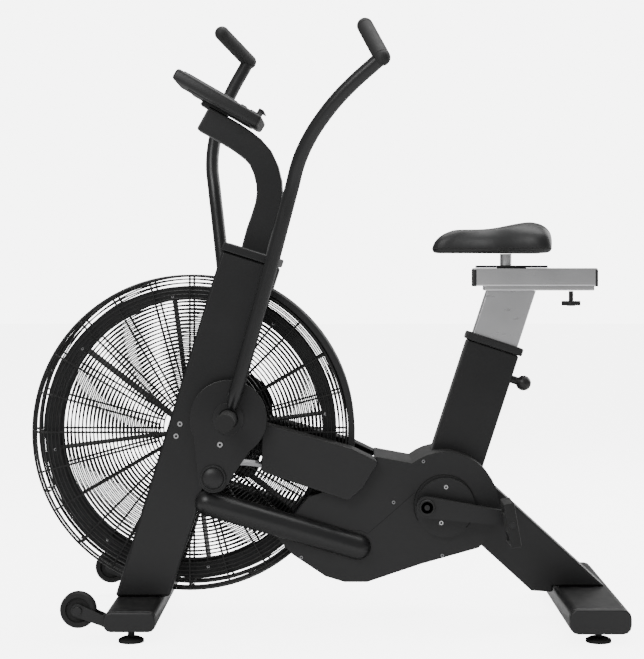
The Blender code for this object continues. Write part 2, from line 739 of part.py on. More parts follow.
def fairing(name, side, finish):
    """A tray-shaped cover, open towards the guard and at both ends, for the belt and the rod."""
    low, high = span(side, FAIRING_INNER, FAIRING_OUTER)
    obj = slab(name, [fairing_outline()], low, high, finish, 0.004)
    low, high = span(side, FAIRING_INNER - 0.01, FAIRING_OUTER - WALL)
    inside = [(-0.170, 0.3400), (0.052, 0.2680), (0.150, 0.2100), (0.150, 0.330), (0.058, 0.3685), (-0.170, 0.4325)]
    return cut(obj, slab_data("hollow", [inside], low, high))


# ---------------------------------------------------------------- drive

def arm_direction(side):
    return Vector((math.cos(CRANK_DROP), 0, -math.sin(CRANK_DROP))) * -side


def pedal_centre(side):
    return Vector((CRANK_X, 0, CRANK_Z)) + arm_direction(side) * CRANK_LENGTH


def crank_axle(finish):
    """The axle with the two off-centre plates that push the rods."""
    end = ARM_INNER + ARM_THICK + 0.004
    data = turned_data("crank_axle", solid_profile([(CRANK_AXLE, -end), (CRANK_AXLE, end)]), 24)
    obj = add("crank_axle", moved(data, (CRANK_X, 0, CRANK_Z)), finish)
    for side in SIDES.values():
        low, high = span(side, 0.0715, 0.0745)
        join_on(obj, slab_data("throw", [circle(CRANK_X + side * THROW, CRANK_Z, STRAP_INNER - 0.001, 24)], low, high))
    return obj


def crank_arm(name, side, finish):
    end = pedal_centre(side)
    low, high = span(side, ARM_INNER, ARM_INNER + ARM_THICK)
    direction = arm_direction(side)
    facing = math.atan2(direction.z, direction.x)
    outline = arc(CRANK_X, CRANK_Z, 0.022, facing + math.pi / 2, facing + 3 * math.pi / 2, 12)
    outline += arc(end.x, end.z, 0.015, facing - math.pi / 2, facing + math.pi / 2, 10)
    axle_hole = circle(CRANK_X, CRANK_Z, CRANK_AXLE + GAP, 24)
    obj = slab(name, [outline, axle_hole], low, high, finish)
    low, high = span(side, ARM_INNER + 0.002, PEDAL_OUTER - 0.001)
    spindle = solid_profile([(PEDAL_SPINDLE, low), (PEDAL_SPINDLE, high)])
    return join_on(obj, moved(turned_data("spindle", spindle, 16), (end.x, 0, end.z)))


def pedal(name, side, finish):
    """A flat platform with open windows round a central barrel."""
    end = pedal_centre(side)
    low, high = span(side, PEDAL_INNER, PEDAL_OUTER)
    middle = (low + high) / 2
    size = (2 * PEDAL_HALF, high - low, 0.022)
    obj = add(name, box_data(name, size, (end.x, middle, end.z), PEDAL_TURN, 0.003), finish)
    for shift in (-0.029, 0.029):
        place = (end.x + shift * math.cos(PEDAL_TURN), middle, end.z - shift * math.sin(PEDAL_TURN))
        cut(obj, box_data("window", (0.020, high - low - 0.020, 0.05), place, PEDAL_TURN))
    bore = solid_profile([(PEDAL_SPINDLE + GAP, low - 0.01), (PEDAL_SPINDLE + GAP, high + 0.01)])
    cut(obj, moved(turned_data("bore", bore, 16), (end.x, 0, end.z)))
    return obj


def pulley(name, radius, bore, place, finish):
    low = BELT_Y - BELT_HALF - 0.0005
    high = BELT_Y + BELT_HALF + 0.0005
    return turned(name, [(bore, low), (radius, low), (radius, high), (bore, high)], finish, place, 28)


def belt_loop(wheels):
    """A closed path round wheels (x, z, radius, turn); turn is 1 inside the loop and -1 outside it."""
    runs = []
    count = len(wheels)
    for i in range(count):
        ax, az, ar, asign = wheels[i]
        bx, bz, br, bsign = wheels[(i + 1) % count]
        between = Vector((bx - ax, bz - az))
        tilt = math.asin((bsign * br - asign * ar) / between.length)
        ahead = between.normalized()
        left = Vector((-ahead.y, ahead.x))
        normal = left * math.cos(tilt) + ahead * math.sin(tilt)
        runs.append((Vector((ax, az)) - normal * asign * ar, Vector((bx, bz)) - normal * bsign * br))
    points = []
    for i in range(count):
        x, z, radius, sign = wheels[i]
        arrive = runs[i - 1][1] - Vector((x, z))
        leave = runs[i][0] - Vector((x, z))
        first = math.atan2(arrive.y, arrive.x)
        last = math.atan2(leave.y, leave.x)
        turn = (last - first) * sign % (2 * math.pi) * sign
        points += arc(x, z, radius, first, first + turn, 16 if radius > 0.05 else 8)
    return points


def drive_belt(finish):
    x, z, radius = IDLER
    thick = BELT_THICK
    loops = []
    for inside, outside in ((thick + BELT_GAP, BELT_GAP), (BELT_GAP, thick + BELT_GAP)):
        loops.append(belt_loop([(CRANK_X, CRANK_Z, CRANK_PULLEY + inside, 1), (FAN_X, FAN_Z, FAN_PULLEY + inside, 1),
                                (x, z, radius + outside, -1)]))
    return slab("drive_belt", loops, BELT_Y - BELT_HALF, BELT_Y + BELT_HALF, finish)


def belt_idler(finish):
    """A small roller, with its own stub axle, that lifts the belt's lower run."""
    x, z, radius = IDLER
    low = BELT_Y - BELT_HALF - 0.0005
    high = BELT_Y + BELT_HALF + 0.0005
    profile = solid_profile([(0.004, 0.0005), (0.004, low), (radius, low), (radius, high)])
    return turned("belt_idler", profile, finish, (x, 0, z), 24)


# ---------------------------------------------------------------- levers

def lever_turn(side):
    """Rest angle of a lever, measured from the left one, which rests fully back."""
    return 0.0 if side < 0 else -LEVER_SWING


def lever_point(x, y, z, side):
    px, pz = turned_about((x, z), lever_turn(side), (PIVOT_X, PIVOT_Z))
    return (px, side * y, pz)


def lever(name, side, finish):
    points = [lever_point(*p, side) for p in LEVER_PATH]
    return add(name, tube_data(name, points, LEVER_RADIUS), finish)


def grip(name, side, finish):
    outer = Vector(lever_point(*GRIP_OUTER, side))
    inner = Vector(lever_point(*GRIP_INNER, side))
    length = (inner - outer).length
    rim = GRIP_RADIUS
    profile = solid_profile([(rim * 0.8, 0), (rim, 0.004), (rim, length - 0.004), (rim * 0.8, length)])
    data = turned_data(name, profile, 20)
    turn = Vector((0, 1, 0)).rotation_difference(inner - outer).to_matrix().to_4x4()
    obj = add(name, moved(data, outer, turn), finish)
    points = [Vector(lever_point(*p, side)) for p in LEVER_PATH]
    points[-1] += (points[-1] - points[-2]).normalized() * 2 * GAP
    return cut(obj, tube_data("lever_space", points, LEVER_RADIUS + GAP))


def lever_plate(name, side, finish):
    """A round plate with an ear for the rod's pin, on the pivot."""
    pivot = (PIVOT_X, PIVOT_Z)
    pin = (PIN_X, PIN_Z)
    ear = math.atan2(PIN_Z - PIVOT_Z, PIN_X - PIVOT_X)
    outline = arc(*pivot, PLATE_RADIUS, ear + math.radians(48), ear + math.radians(312), 30)
    outline += arc(*pin, PIN_BOSS, ear - math.radians(75), ear + math.radians(75), 12)
    turned_outline = [turned_about(p, lever_turn(side), pivot) for p in outline]
    pin_now = turned_about(pin, lever_turn(side), pivot)
    low, high = span(side, PLATE_INNER, PLATE_INNER + PLATE_THICK)
    obj = slab(name, [turned_outline, circle(*pivot, PEG_RADIUS + 0.001, 32)], low, high, finish)
    low, high = span(side, 0.116, PLATE_INNER + 0.004)
    profile = solid_profile([(PIN_RADIUS, low), (PIN_RADIUS, high)])
    return join_on(obj, moved(turned_data("pin", profile, 16), (pin_now[0], 0, pin_now[1])))


def foot_peg(name, side, finish):
    low, high = span(side, POST_OUTER + GAP, PEG_END)
    profile = solid_profile([(PEG_RADIUS, low), (PEG_RADIUS, high)])
    return turned(name, profile, finish, (PIVOT_X, 0, PIVOT_Z), 24)


def rod(name, side, finish):
    """From the lever's pin, inwards past the upright, to a strap round the crank's throw."""
    pin = turned_about((PIN_X, PIN_Z), lever_turn(side), (PIVOT_X, PIVOT_Z))
    strap = (CRANK_X + side * THROW, CRANK_Z)
    stations = [(0.030, 0.124, 0.012), (0.06, 0.1215, 0.026), (0.115, 0.1075, 0.034), (0.20, 0.1035, 0.037),
                (0.40, 0.091, 0.033), (0.56, ROD_Y + 0.0005, 0.025), (0.72, ROD_Y, 0.016), (0.90, ROD_Y, 0.004)]
    points = []
    for share, y, lift in stations:
        points.append((pin[0] + (strap[0] - pin[0]) * share, side * y, pin[1] + (strap[1] - pin[1]) * share + lift))
    data = tube_data(name, smooth_path(points, 2), ROD_RADIUS, 1)
    obj = add(name, data, finish)
    low, high = span(side, 0.124 - ROD_RADIUS, 0.124 + ROD_RADIUS)
    eye = slab_data("eye", [circle(*pin, 0.0165, 20), circle(*pin, PIN_RADIUS + 0.0005, 20)], low, high)
    cut(obj, slab_data("eye_space", [circle(*pin, 0.012, 24)], low - 0.01, high + 0.01))
    join_on(obj, eye)
    low, high = span(side, ROD_Y - ROD_RADIUS, ROD_Y + ROD_RADIUS)
    cut(obj, slab_data("strap_space", [circle(*strap, STRAP_INNER + 0.002, 24)], low - 0.01, high + 0.01))
    join_on(obj, slab_data("strap", [circle(*strap, STRAP_OUTER, 24), circle(*strap, STRAP_INNER, 24)], low, high))
    return obj


# ---------------------------------------------------------------- saddle

def seat_post(finish):
    obj = add("seat_post", seat_box("seat_post", SEAT_POST_DEPTH, SEAT_POST_HALF, SEAT_POST_SHOWN + 0.02,
                                    SEAT_POST_SHOWN + 0.02 + SEAT_POST_HIDDEN, 0.003), finish)
    head = box_data("head_space", (0.4, 0.2, 0.1), (0.45, 0, RAIL[2] - 0.010 - GAP + 0.05))
    return cut(obj, head)


def seat_head_data():
    """The plate on the post that the rail is welded to."""
    return box_data("head", (0.232, 2 * RAIL_HALF - 0.004, 0.0105), (0.4580, 0, RAIL[2] - 0.0045), 0, 0.002)


def seat_rail(finish):
    x0, x1, z0, z1 = RAIL
    obj = add("seat_rail", box_data("seat_rail", (x1 - x0, 2 * RAIL_HALF, z1 - z0),
                                    ((x0 + x1) / 2, 0, (z0 + z1) / 2), 0, 0.003), finish)
    cut(obj, box_data("channel", (x1 - x0 + 0.01, 0.044, 0.024), ((x0 + x1) / 2, 0, z0 + 0.018)))
    cut(obj, box_data("slot", (x1 - x0 - 0.04, 0.022, 0.02), ((x0 + x1) / 2, 0, z1)))
    return join_on(obj, seat_head_data())


def seat_slider(finish):
    """The carriage on the rail, with the stub that the saddle clamps to."""
    top = RAIL[3]
    obj = add("seat_slider", box_data("seat_slider", (SLIDER_LENGTH, 0.050, 0.005),
                                      (STUB_X + 0.012, 0, top + 0.0030), 0, 0.001), finish)
    profile = solid_profile([(0.011, 0), (0.011, SADDLE[2] - top - 0.004)])
    stub = turned_data("stub", profile, 20)
    join_on(obj, moved(stub, (STUB_X, 0, top + 0.003), Matrix.Rotation(math.pi / 2, 4, "X")))
    join_on(obj, box_data("key", (0.06, 0.018, 0.020), (STUB_X + 0.012, 0, top - 0.007)))
    return obj


def saddle(finish):
    """A simple closed form of the padded saddle: narrow nose, wide and raised back."""
    x0, x1, z0, z1 = SADDLE
    length = x1 - x0
    sections = [(0.02, 0.022, 0.020), (0.15, 0.034, 0.038), (0.40, 0.048, 0.0500), (0.62, 0.082, 0.058),
                (0.80, 0.112, 0.066), (0.93, 0.110, 0.064), (1.0, 0.080, 0.045)]
    bm = bmesh.new()
    rings = []
    for share, half, height in sections:
        x = x0 + length * share
        ring = []
        for k in range(16):
            a = 2 * math.pi * k / 16
            lift = 0.5 + 0.5 * math.sin(a)
            ring.append(bm.verts.new((x, half * math.copysign(abs(math.cos(a)) ** 0.8, math.cos(a)),
                                      z0 + height * lift ** 0.9 + 0.0006)))
        rings.append(ring)
    for near, far in zip(rings, rings[1:]):
        for k in range(16):
            bm.faces.new((near[k], near[(k + 1) % 16], far[(k + 1) % 16], far[k]))
    bm.faces.new(rings[0][::-1])
    bm.faces.new(rings[-1])
    return add("saddle", mesh_from(bm, "saddle"), finish)


def rail_knob(finish):
    """A clamp screw under the rail's rear end."""
    top = RAIL[2] - 0.011
    profile = solid_profile([(0.009, 0), (0.010, 0.006), (0.010, 0.010), (0.005, 0.011), (0.005, 0.032)])
    data = turned_data("rail_knob", profile, 20)
    obj = add("rail_knob", moved(data, (RAIL_KNOB_X, 0, top - 0.032), Matrix.Rotation(math.pi / 2, 4, "X")), finish)
    join_on(obj, box_data("bar", (0.040, 0.010, 0.010), (RAIL_KNOB_X, 0, top - 0.026), 0, 0.002))
    return obj


def post_knob(finish):
    """The pull pin: a ball on a plunger that holds the post."""
    face = SEAT_TUBE_DEPTH / 2
    tip = SEAT_POST_DEPTH / 2 + 0.001
    radius = 0.0165
    centre = face + 0.030
    profile = [(0.0055, tip), (0.0055, face + 0.001), (0.0085, face + 0.001), (0.0085, face + 0.012)]
    for i in range(7):
        a = math.radians(-60 + 150 * i / 6)
        profile.append((radius * math.cos(a), centre + radius * math.sin(a)))
    profile[-1] = (0.0, centre + radius)
    data = turned_data("post_knob", [(0, tip), *profile], 16)
    return add("post_knob", moved(data, pin_point(0), pin_turn()), finish)


# ---------------------------------------------------------------- console

def console(finish):
    x, z = CONSOLE_CENTRE
    return add("console", box_data("console", CONSOLE_SIZE, (x, 0, z), CONSOLE_TILT, 0.006), finish)


def console_bracket_data():
    """A short block between the mast's end and the console."""
    x, z = CONSOLE_CENTRE
    normal = Vector((math.sin(CONSOLE_TILT), 0, math.cos(CONSOLE_TILT)))
    centre = Vector((x, 0, z)) - normal * (CONSOLE_SIZE[2] / 2 + 0.006 + GAP)
    return box_data("bracket", (0.060, 0.050, 0.012), centre, CONSOLE_TILT)


def build():
    start()
    black = material("satin_black_steel", (0.018, 0.018, 0.019), 0.42, 0.0)
    cover = material("black_plastic", (0.022, 0.022, 0.023), 0.5, 0.0)
    wire = material("black_wire", (0.015, 0.015, 0.015), 0.4, 0.0)
    fan_black = material("fan_black", (0.030, 0.031, 0.032), 0.45, 0.0)
    rubber = material("black_rubber", (0.020, 0.020, 0.020), 0.75, 0.0)
    chrome = material("brushed_chrome", (0.72, 0.73, 0.75), 0.25, 1.0)
    steel = material("dark_steel", (0.30, 0.30, 0.31), 0.35, 1.0)
    vinyl = material("saddle_vinyl", (0.020, 0.020, 0.020), 0.45, 0.0)
    fan_wheel(fan_black)
    fan_bearing(steel)
    wind_shroud(cover)
    fan_axle(steel)
    for word, side in SIDES.items():
        guard("guard_" + word, side, wire)
        post("post_" + word, side, black)
        stabilizer_cap("front_cap_" + word, FRONT_STAB, side, cover)
        stabilizer_cap("rear_cap_" + word, REAR_STAB, side, cover)
        foot("front_foot_" + word, FRONT_STAB, side, rubber)
        foot("rear_foot_" + word, REAR_STAB, side, rubber)
        wheel_bracket("wheel_bracket_" + word, side, black)
        foot_peg("foot_peg_" + word, side, rubber)
        wheel("wheel_" + word, side, rubber)
        side_tube("side_tube_" + word, side, black)
        housing("housing_" + word, side, cover)
        fairing("fairing_" + word, side, cover)
        crank_arm("crank_arm_" + word, side, black)
        pedal("pedal_" + word, side, rubber)
        lever("lever_" + word, side, black)
        grip("grip_" + word, side, rubber)
        lever_plate("lever_plate_" + word, side, black)
        rod("rod_" + word, side, steel)
    mast(black)
    stabilizer("front_stabilizer", FRONT_STAB, black)
    stabilizer("rear_stabilizer", REAR_STAB, black)
    crossbar(black)
    crank_bearing(steel)
    seat_tube(black)
    seat_collar(cover)
    rear_leg(black)
    crank_axle(steel)
    pulley("crank_pulley", CRANK_PULLEY, CRANK_AXLE + GAP, (CRANK_X, 0, CRANK_Z), cover)
    pulley("fan_pulley", FAN_PULLEY, FAN_AXLE_RADIUS + GAP, (FAN_X, 0, FAN_Z), steel)
    belt_idler(cover)
    drive_belt(rubber)
    seat_post(chrome)
    seat_rail(chrome)
    seat_slider(black)
    saddle(vinyl)
    rail_knob(cover)
    post_knob(cover)
    console(cover)


build()
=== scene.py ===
# %% [markdown]
# An air bike resists the rider with a fan: two arm levers and the pedals drive it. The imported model
# gives every solid in its place. This script dresses it: smooth skins, wire guards, screws, a padded
# saddle and real finishes. Everything is in metres, +Z up, and -X is the fan end.
# %% Load the frame
import json
import math

import bmesh
import bpy
from mathutils import Matrix, Vector
from mathutils.bvhtree import BVHTree


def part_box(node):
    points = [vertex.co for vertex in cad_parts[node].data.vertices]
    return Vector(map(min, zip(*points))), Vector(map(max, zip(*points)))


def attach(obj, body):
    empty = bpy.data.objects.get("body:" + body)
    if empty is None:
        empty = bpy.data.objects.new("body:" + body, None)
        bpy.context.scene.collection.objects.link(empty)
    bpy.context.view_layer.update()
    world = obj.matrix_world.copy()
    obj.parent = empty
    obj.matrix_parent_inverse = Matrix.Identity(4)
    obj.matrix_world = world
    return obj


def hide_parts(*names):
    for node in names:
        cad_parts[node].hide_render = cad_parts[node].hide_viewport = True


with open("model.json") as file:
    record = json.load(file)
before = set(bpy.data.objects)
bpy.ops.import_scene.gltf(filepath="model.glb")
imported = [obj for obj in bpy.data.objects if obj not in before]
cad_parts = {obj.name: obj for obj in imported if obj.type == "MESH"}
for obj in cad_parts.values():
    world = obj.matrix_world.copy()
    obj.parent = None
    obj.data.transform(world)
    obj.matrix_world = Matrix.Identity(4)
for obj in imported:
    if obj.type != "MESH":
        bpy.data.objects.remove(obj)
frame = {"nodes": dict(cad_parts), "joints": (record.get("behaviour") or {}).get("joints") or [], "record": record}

SIDES = {"left": -1.0, "right": 1.0}
PIN_PLACE = {j["name"]: Vector(j["pos_m"]) for j in frame["joints"] if "pos_m" in j}
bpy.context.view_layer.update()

# %% [markdown]
# A camera comes first, so that every later step can be looked at. It stands level, square to the
# rider's left side, far enough away that the far side of the machine shows only a little smaller.
# %% Camera
camera_data = bpy.data.cameras.new("camera")
camera_data.lens = 92.21
camera_data.shift_x = -0.0288
camera_data.shift_y = -0.0888
camera = bpy.data.objects.new("camera", camera_data)
camera.location = (0.0375, -3.6, 0.738)
camera.rotation_euler = (math.pi / 2, 0, 0)
bpy.context.scene.collection.objects.link(camera)
bpy.context.scene.camera = camera
print("camera lens", camera_data.lens)

# %% [markdown]
# Black paint shows its shape only by what it reflects. Large, soft lights give long, quiet highlights
# along the tubes, and a pale room fills the rest. Small hard lights would give white dots instead.
# The room and floor look brighter than the light that they give, so black parts stay black on white.
# %% Light and floor
ROOM_FILL = 0.30
ROOM_SEEN = 6.5
FLOOR_SEEN = 5.6
FLOOR_HALF = 20


def area_light(name, place, aim, size, power):
    data = bpy.data.lights.new(name, "AREA")
    data.shape = "RECTANGLE"
    data.size, data.size_y = size
    data.energy = power
    light = bpy.data.objects.new(name, data)
    light.location = place
    light.rotation_euler = (Vector(aim) - Vector(place)).to_track_quat("-Z", "Y").to_euler()
    bpy.context.scene.collection.objects.link(light)


area_light("key", (-1.6, -2.6, 2.6), (0, 0, 0.6), (2.2, 1.4), 70)
area_light("top", (0.3, 0.4, 3.2), (0, 0, 0.5), (3.0, 2.0), 80)
area_light("rear", (2.4, 1.8, 1.8), (0, 0, 0.6), (1.6, 2.2), 60)
world = bpy.data.worlds.new("pale_room")
world.use_nodes = True
background = world.node_tree.nodes["Background"]
background.inputs["Color"].default_value = (1, 1, 1, 1)
ray = world.node_tree.nodes.new("ShaderNodeLightPath")
seen = world.node_tree.nodes.new("ShaderNodeMapRange")
seen.inputs["To Min"].default_value = ROOM_FILL
seen.inputs["To Max"].default_value = ROOM_SEEN
world.node_tree.links.new(ray.outputs["Is Camera Ray"], seen.inputs["Value"])
world.node_tree.links.new(seen.outputs["Result"], background.inputs["Strength"])
bpy.context.scene.world = world
floor_mesh = bpy.data.meshes.new("floor")
floor_grid = bmesh.new()
bmesh.ops.create_grid(floor_grid, x_segments=2, y_segments=2, size=FLOOR_HALF)
floor_grid.to_mesh(floor_mesh)
floor = bpy.data.objects.new("floor", floor_mesh)
bpy.context.scene.collection.objects.link(floor)
print("lights", len(bpy.data.lights), "floor", 2 * FLOOR_HALF, "m wide")

# %% [markdown]
# Several finishes share the same small effects, so each effect is a node group with named sockets.
# Grain is the fine orange-peel of powder coat or moulded plastic. Dust is a pale veil on faces that
# look up. Streaks are the long fine lines that a brushing belt leaves. Rubs are the short shiny marks
# of use. A group gives only masks and heights, and each material decides what to do with them.
# %% Group helper
def shader_group(name, inputs, outputs):
    group = bpy.data.node_groups.new(name, "ShaderNodeTree")
    for label, value in inputs:
        socket = group.interface.new_socket(label, in_out="INPUT", socket_type="NodeSocketFloat")
        socket.default_value = value
    for label in outputs:
        group.interface.new_socket(label, in_out="OUTPUT", socket_type="NodeSocketFloat")
    return group, group.nodes.new("NodeGroupInput"), group.nodes.new("NodeGroupOutput")


def math_node(tree, operation, first, second=None):
    made = tree.nodes.new("ShaderNodeMath")
    made.operation = operation
    for socket, value in zip(made.inputs, (first, second)):
        if isinstance(value, (int, float)):
            socket.default_value = value
        elif value is not None:
            tree.links.new(value, socket)
    return made.outputs[0]


def noise_node(tree, scale, detail=2.0, stretch=None):
    place = tree.nodes.new("ShaderNodeTexCoord").outputs["Object"]
    if stretch:
        mapping = tree.nodes.new("ShaderNodeMapping")
        mapping.inputs["Scale"].default_value = stretch
        tree.links.new(place, mapping.inputs["Vector"])
        place = mapping.outputs["Vector"]
    made = tree.nodes.new("ShaderNodeTexNoise")
    made.inputs["Detail"].default_value = detail
    tree.links.new(place, made.inputs["Vector"])
    if isinstance(scale, (int, float)):
        made.inputs["Scale"].default_value = scale
    else:
        tree.links.new(scale, made.inputs["Scale"])
    return made.outputs["Fac"]


def ramp(tree, value, low, high):
    made = tree.nodes.new("ShaderNodeMapRange")
    made.interpolation_type = "SMOOTHSTEP"
    made.inputs["From Min"].default_value = low
    made.inputs["From Max"].default_value = high
    tree.links.new(value, made.inputs["Value"])
    return made.outputs["Result"]


print("shader helpers ready")

# %% The four shared effects
grain, grain_in, grain_out = shader_group("grain", [("Scale", 900.0), ("Patches", 9.0)], ["Height", "Patch"])
grain.links.new(noise_node(grain, grain_in.outputs["Scale"], 3.0), grain_out.inputs["Height"])
grain.links.new(noise_node(grain, grain_in.outputs["Patches"], 4.0), grain_out.inputs["Patch"])

dust, dust_in, dust_out = shader_group("dust", [("Amount", 0.3)], ["Mask"])
normal_z = dust.nodes.new("ShaderNodeSeparateXYZ")
dust.links.new(dust.nodes.new("ShaderNodeNewGeometry").outputs["Normal"], normal_z.inputs["Vector"])
upward = ramp(dust, normal_z.outputs["Z"], 0.35, 1.0)
specks = ramp(dust, noise_node(dust, 60.0, 6.0), 0.35, 0.8)
veil = math_node(dust, "MULTIPLY", upward, specks)
dust.links.new(math_node(dust, "MULTIPLY", veil, dust_in.outputs["Amount"]), dust_out.inputs["Mask"])

streaks, streaks_in, streaks_out = shader_group("streaks", [("Scale", 40.0)], ["Height"])
lines = noise_node(streaks, streaks_in.outputs["Scale"], 5.0, (0.6, 30.0, 30.0))
streaks.links.new(lines, streaks_out.inputs["Height"])

rubs, rubs_in, rubs_out = shader_group("rubs", [("Scale", 26.0), ("Amount", 0.5)], ["Mask"])
marks = ramp(rubs, noise_node(rubs, rubs_in.outputs["Scale"], 8.0, (1.0, 1.0, 4.0)), 0.62, 0.74)
rubs.links.new(math_node(rubs, "MULTIPLY", marks, rubs_in.outputs["Amount"]), rubs_out.inputs["Mask"])
print("effects", [g.name for g in (grain, dust, streaks, rubs)])

# %% [markdown]
# Every finish is one Principled shader with those groups in front of it. The colour is mixed towards
# dust, the roughness wanders with the patches and drops on rubbed spots, and the fine height feeds a
# Bump node. Values that are the same all over are set straight on the shader.
# %% Finish helper
def use_group(tree, group, **values):
    made = tree.nodes.new("ShaderNodeGroup")
    made.node_tree = group
    for label, value in values.items():
        made.inputs[label].default_value = value
    return made


def mix_colour(tree, factor, first, second):
    made = tree.nodes.new("ShaderNodeMix")
    made.data_type = "RGBA"
    for socket, value in zip((made.inputs[0], made.inputs[6], made.inputs[7]), (factor, first, second)):
        if isinstance(value, tuple):
            socket.default_value = (*value, 1)
        else:
            tree.links.new(value, socket)
    return made.outputs[2]


RUB_SHINE = 0.25            # how far a rubbed spot lowers the roughness
DUST_COLOUR = (0.10, 0.098, 0.094)


def finish(name, colour, rough, metal=0.0, grain_scale=900.0, depth=0.00004, dusty=0.25, rubbed=0.4,
           brushed=False, coat=0.0, vary=0.10):
    made = bpy.data.materials.new(name)
    made.use_nodes = True
    tree = made.node_tree
    shader = tree.nodes["Principled BSDF"]
    shader.inputs["Metallic"].default_value = metal
    shader.inputs["Coat Weight"].default_value = coat
    fine = use_group(tree, grain, Scale=grain_scale)
    veil = use_group(tree, dust, Amount=dusty)
    worn = use_group(tree, rubs, Amount=rubbed)
    lighter = tuple(min(1.0, c * 1.18 + 0.0006) for c in colour)
    body = mix_colour(tree, fine.outputs["Patch"], tuple(c * 0.88 for c in colour), lighter)
    dusted = mix_colour(tree, veil.outputs["Mask"], body, DUST_COLOUR)
    tree.links.new(dusted, shader.inputs["Base Color"])
    wander = math_node(tree, "MULTIPLY_ADD", fine.outputs["Patch"], vary)
    wander.node.inputs[2].default_value = rough - vary / 2
    shine = math_node(tree, "MULTIPLY", worn.outputs["Mask"], RUB_SHINE)
    tree.links.new(math_node(tree, "SUBTRACT", wander, shine), shader.inputs["Roughness"])
    bump = tree.nodes.new("ShaderNodeBump")
    bump.inputs["Distance"].default_value = depth
    bump.inputs["Strength"].default_value = 0.6
    height = fine.outputs["Height"]
    if brushed:
        height = use_group(tree, streaks).outputs["Height"]
    tree.links.new(height, bump.inputs["Height"])
    tree.links.new(bump.outputs["Normal"], shader.inputs["Normal"])
    return made


# %% The finishes of this machine
FRAME_PAINT = finish("powder_coat_black", (0.010, 0.010, 0.0105), 0.36, grain_scale=700, depth=0.00004,
                     rubbed=0.15)
COVER = finish("moulded_cover_black", (0.011, 0.011, 0.0115), 0.46, grain_scale=1400, depth=0.00006,
               rubbed=0.15)
WIRE = finish("guard_wire_black", (0.008, 0.008, 0.008), 0.38, dusty=0.15)
FAN_PAINT = finish("fan_black", (0.014, 0.0145, 0.015), 0.45, dusty=0.35)
RUBBER = finish("rubber_black", (0.010, 0.010, 0.010), 0.72, grain_scale=500, depth=0.00012, rubbed=0.2)
FOAM = finish("grip_foam_black", (0.013, 0.013, 0.013), 0.66, grain_scale=1800, depth=0.0002, rubbed=0.3)
CHROME = finish("brushed_bright", (0.80, 0.80, 0.81), 0.30, 1.0, depth=0.00002, dusty=0.03, brushed=True)
STEEL = finish("satin_steel", (0.33, 0.33, 0.34), 0.36, 1.0, dusty=0.05, brushed=True)
ZINC = finish("zinc_screw", (0.62, 0.62, 0.63), 0.28, 1.0, dusty=0.05, rubbed=0.6)
VINYL = finish("saddle_vinyl", (0.012, 0.012, 0.0125), 0.48, grain_scale=420, depth=0.00022, rubbed=0.5)
# SHADOW is painted shade: a near-black laid where only the shade inside a recess or a groove would be.
SHADOW = finish("painted_shade_black", (0.003, 0.003, 0.003), 0.80, dusty=0.0, rubbed=0.0)
GLASS = finish("display_glass", (0.006, 0.007, 0.008), 0.08, dusty=0.1, rubbed=0.2, coat=0.8, vary=0.04)
KEYS = finish("key_grey", (0.055, 0.056, 0.058), 0.55, dusty=0.2)
FLOOR = finish("pale_floor", (0.86, 0.86, 0.86), 0.70, grain_scale=30, depth=0.0001, dusty=0.0, rubbed=0.0)
floor.data.materials.append(FLOOR)
floor_shader = FLOOR.node_tree.nodes["Principled BSDF"]
floor_shader.inputs["Emission Color"].default_value = (1, 1, 1, 1)
floor_ray = FLOOR.node_tree.nodes.new("ShaderNodeLightPath")
floor_glow = math_node(FLOOR.node_tree, "MULTIPLY", floor_ray.outputs["Is Camera Ray"], FLOOR_SEEN)
FLOOR.node_tree.links.new(floor_glow, floor_shader.inputs["Emission Strength"])
SLOT_FINISH = {"frame_paint": FRAME_PAINT, "cover_plastic": COVER, "guard_wire": WIRE,
               "fan_paint": FAN_PAINT, "rubber": RUBBER, "chrome": CHROME, "steel": STEEL,
               "saddle_vinyl": VINYL}
print("finishes of the record's slots", sorted(SLOT_FINISH))

# %% [markdown]
# Each node's slot in the record says which finish it takes. Nodes that stay hidden inside the machine,
# such as axles and pulleys, keep their CAD mesh and only get the finish.
# %% Finish every CAD node
NODE_SLOT = {s["node"]: s["material_slot"] for s in frame["record"]["subparts"]}
NODE_BODY = {n: b for b, ns in frame["record"]["behaviour"]["bodies"].items() for n in ns}
for node_name, node_object in frame["nodes"].items():
    node_object.data.materials.clear()
    node_object.data.materials.append(SLOT_FINISH[NODE_SLOT[node_name]])
print("nodes finished", len(NODE_SLOT))

# %% [markdown]
# The visible solids are faceted, as CAD is. Their skins are copies with the loose triangles joined,
# flat areas made whole, edges rolled over by a bevel as bent sheet and moulded plastic have them, and
# normals weighted towards the large faces so that flat sides stay flat in a reflection.
# %% Piece helpers
def piece(name, mesh, material, body, replaces=()):
    made = bpy.data.objects.new(name, mesh)
    bpy.context.scene.collection.objects.link(made)
    if not mesh.materials:
        mesh.materials.append(material)
    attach(made, body)
    if replaces:
        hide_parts(*replaces)
    return made


def evaluated_mesh(made):
    bpy.context.view_layer.update()
    source = made.evaluated_get(bpy.context.evaluated_depsgraph_get())
    return bpy.data.meshes.new_from_object(source)


def shade(mesh, degrees=34):
    mesh.shade_smooth()
    mesh.set_sharp_from_angle(angle=math.radians(degrees))
    return mesh


def joined_copy(node, name):
    bm = bmesh.new()
    bm.from_mesh(frame["nodes"][node].data)
    bmesh.ops.remove_doubles(bm, verts=bm.verts, dist=0.00001)
    bmesh.ops.dissolve_limit(bm, angle_limit=math.radians(0.6), verts=bm.verts, edges=bm.edges)
    mesh = bpy.data.meshes.new(name)
    bm.to_mesh(mesh)
    bm.free()
    return mesh


BEVEL_ANGLE = math.radians(42)
SHARP_BEFORE_BEVEL = 80     # degrees: only the squarest edges stay hard next to a bevel


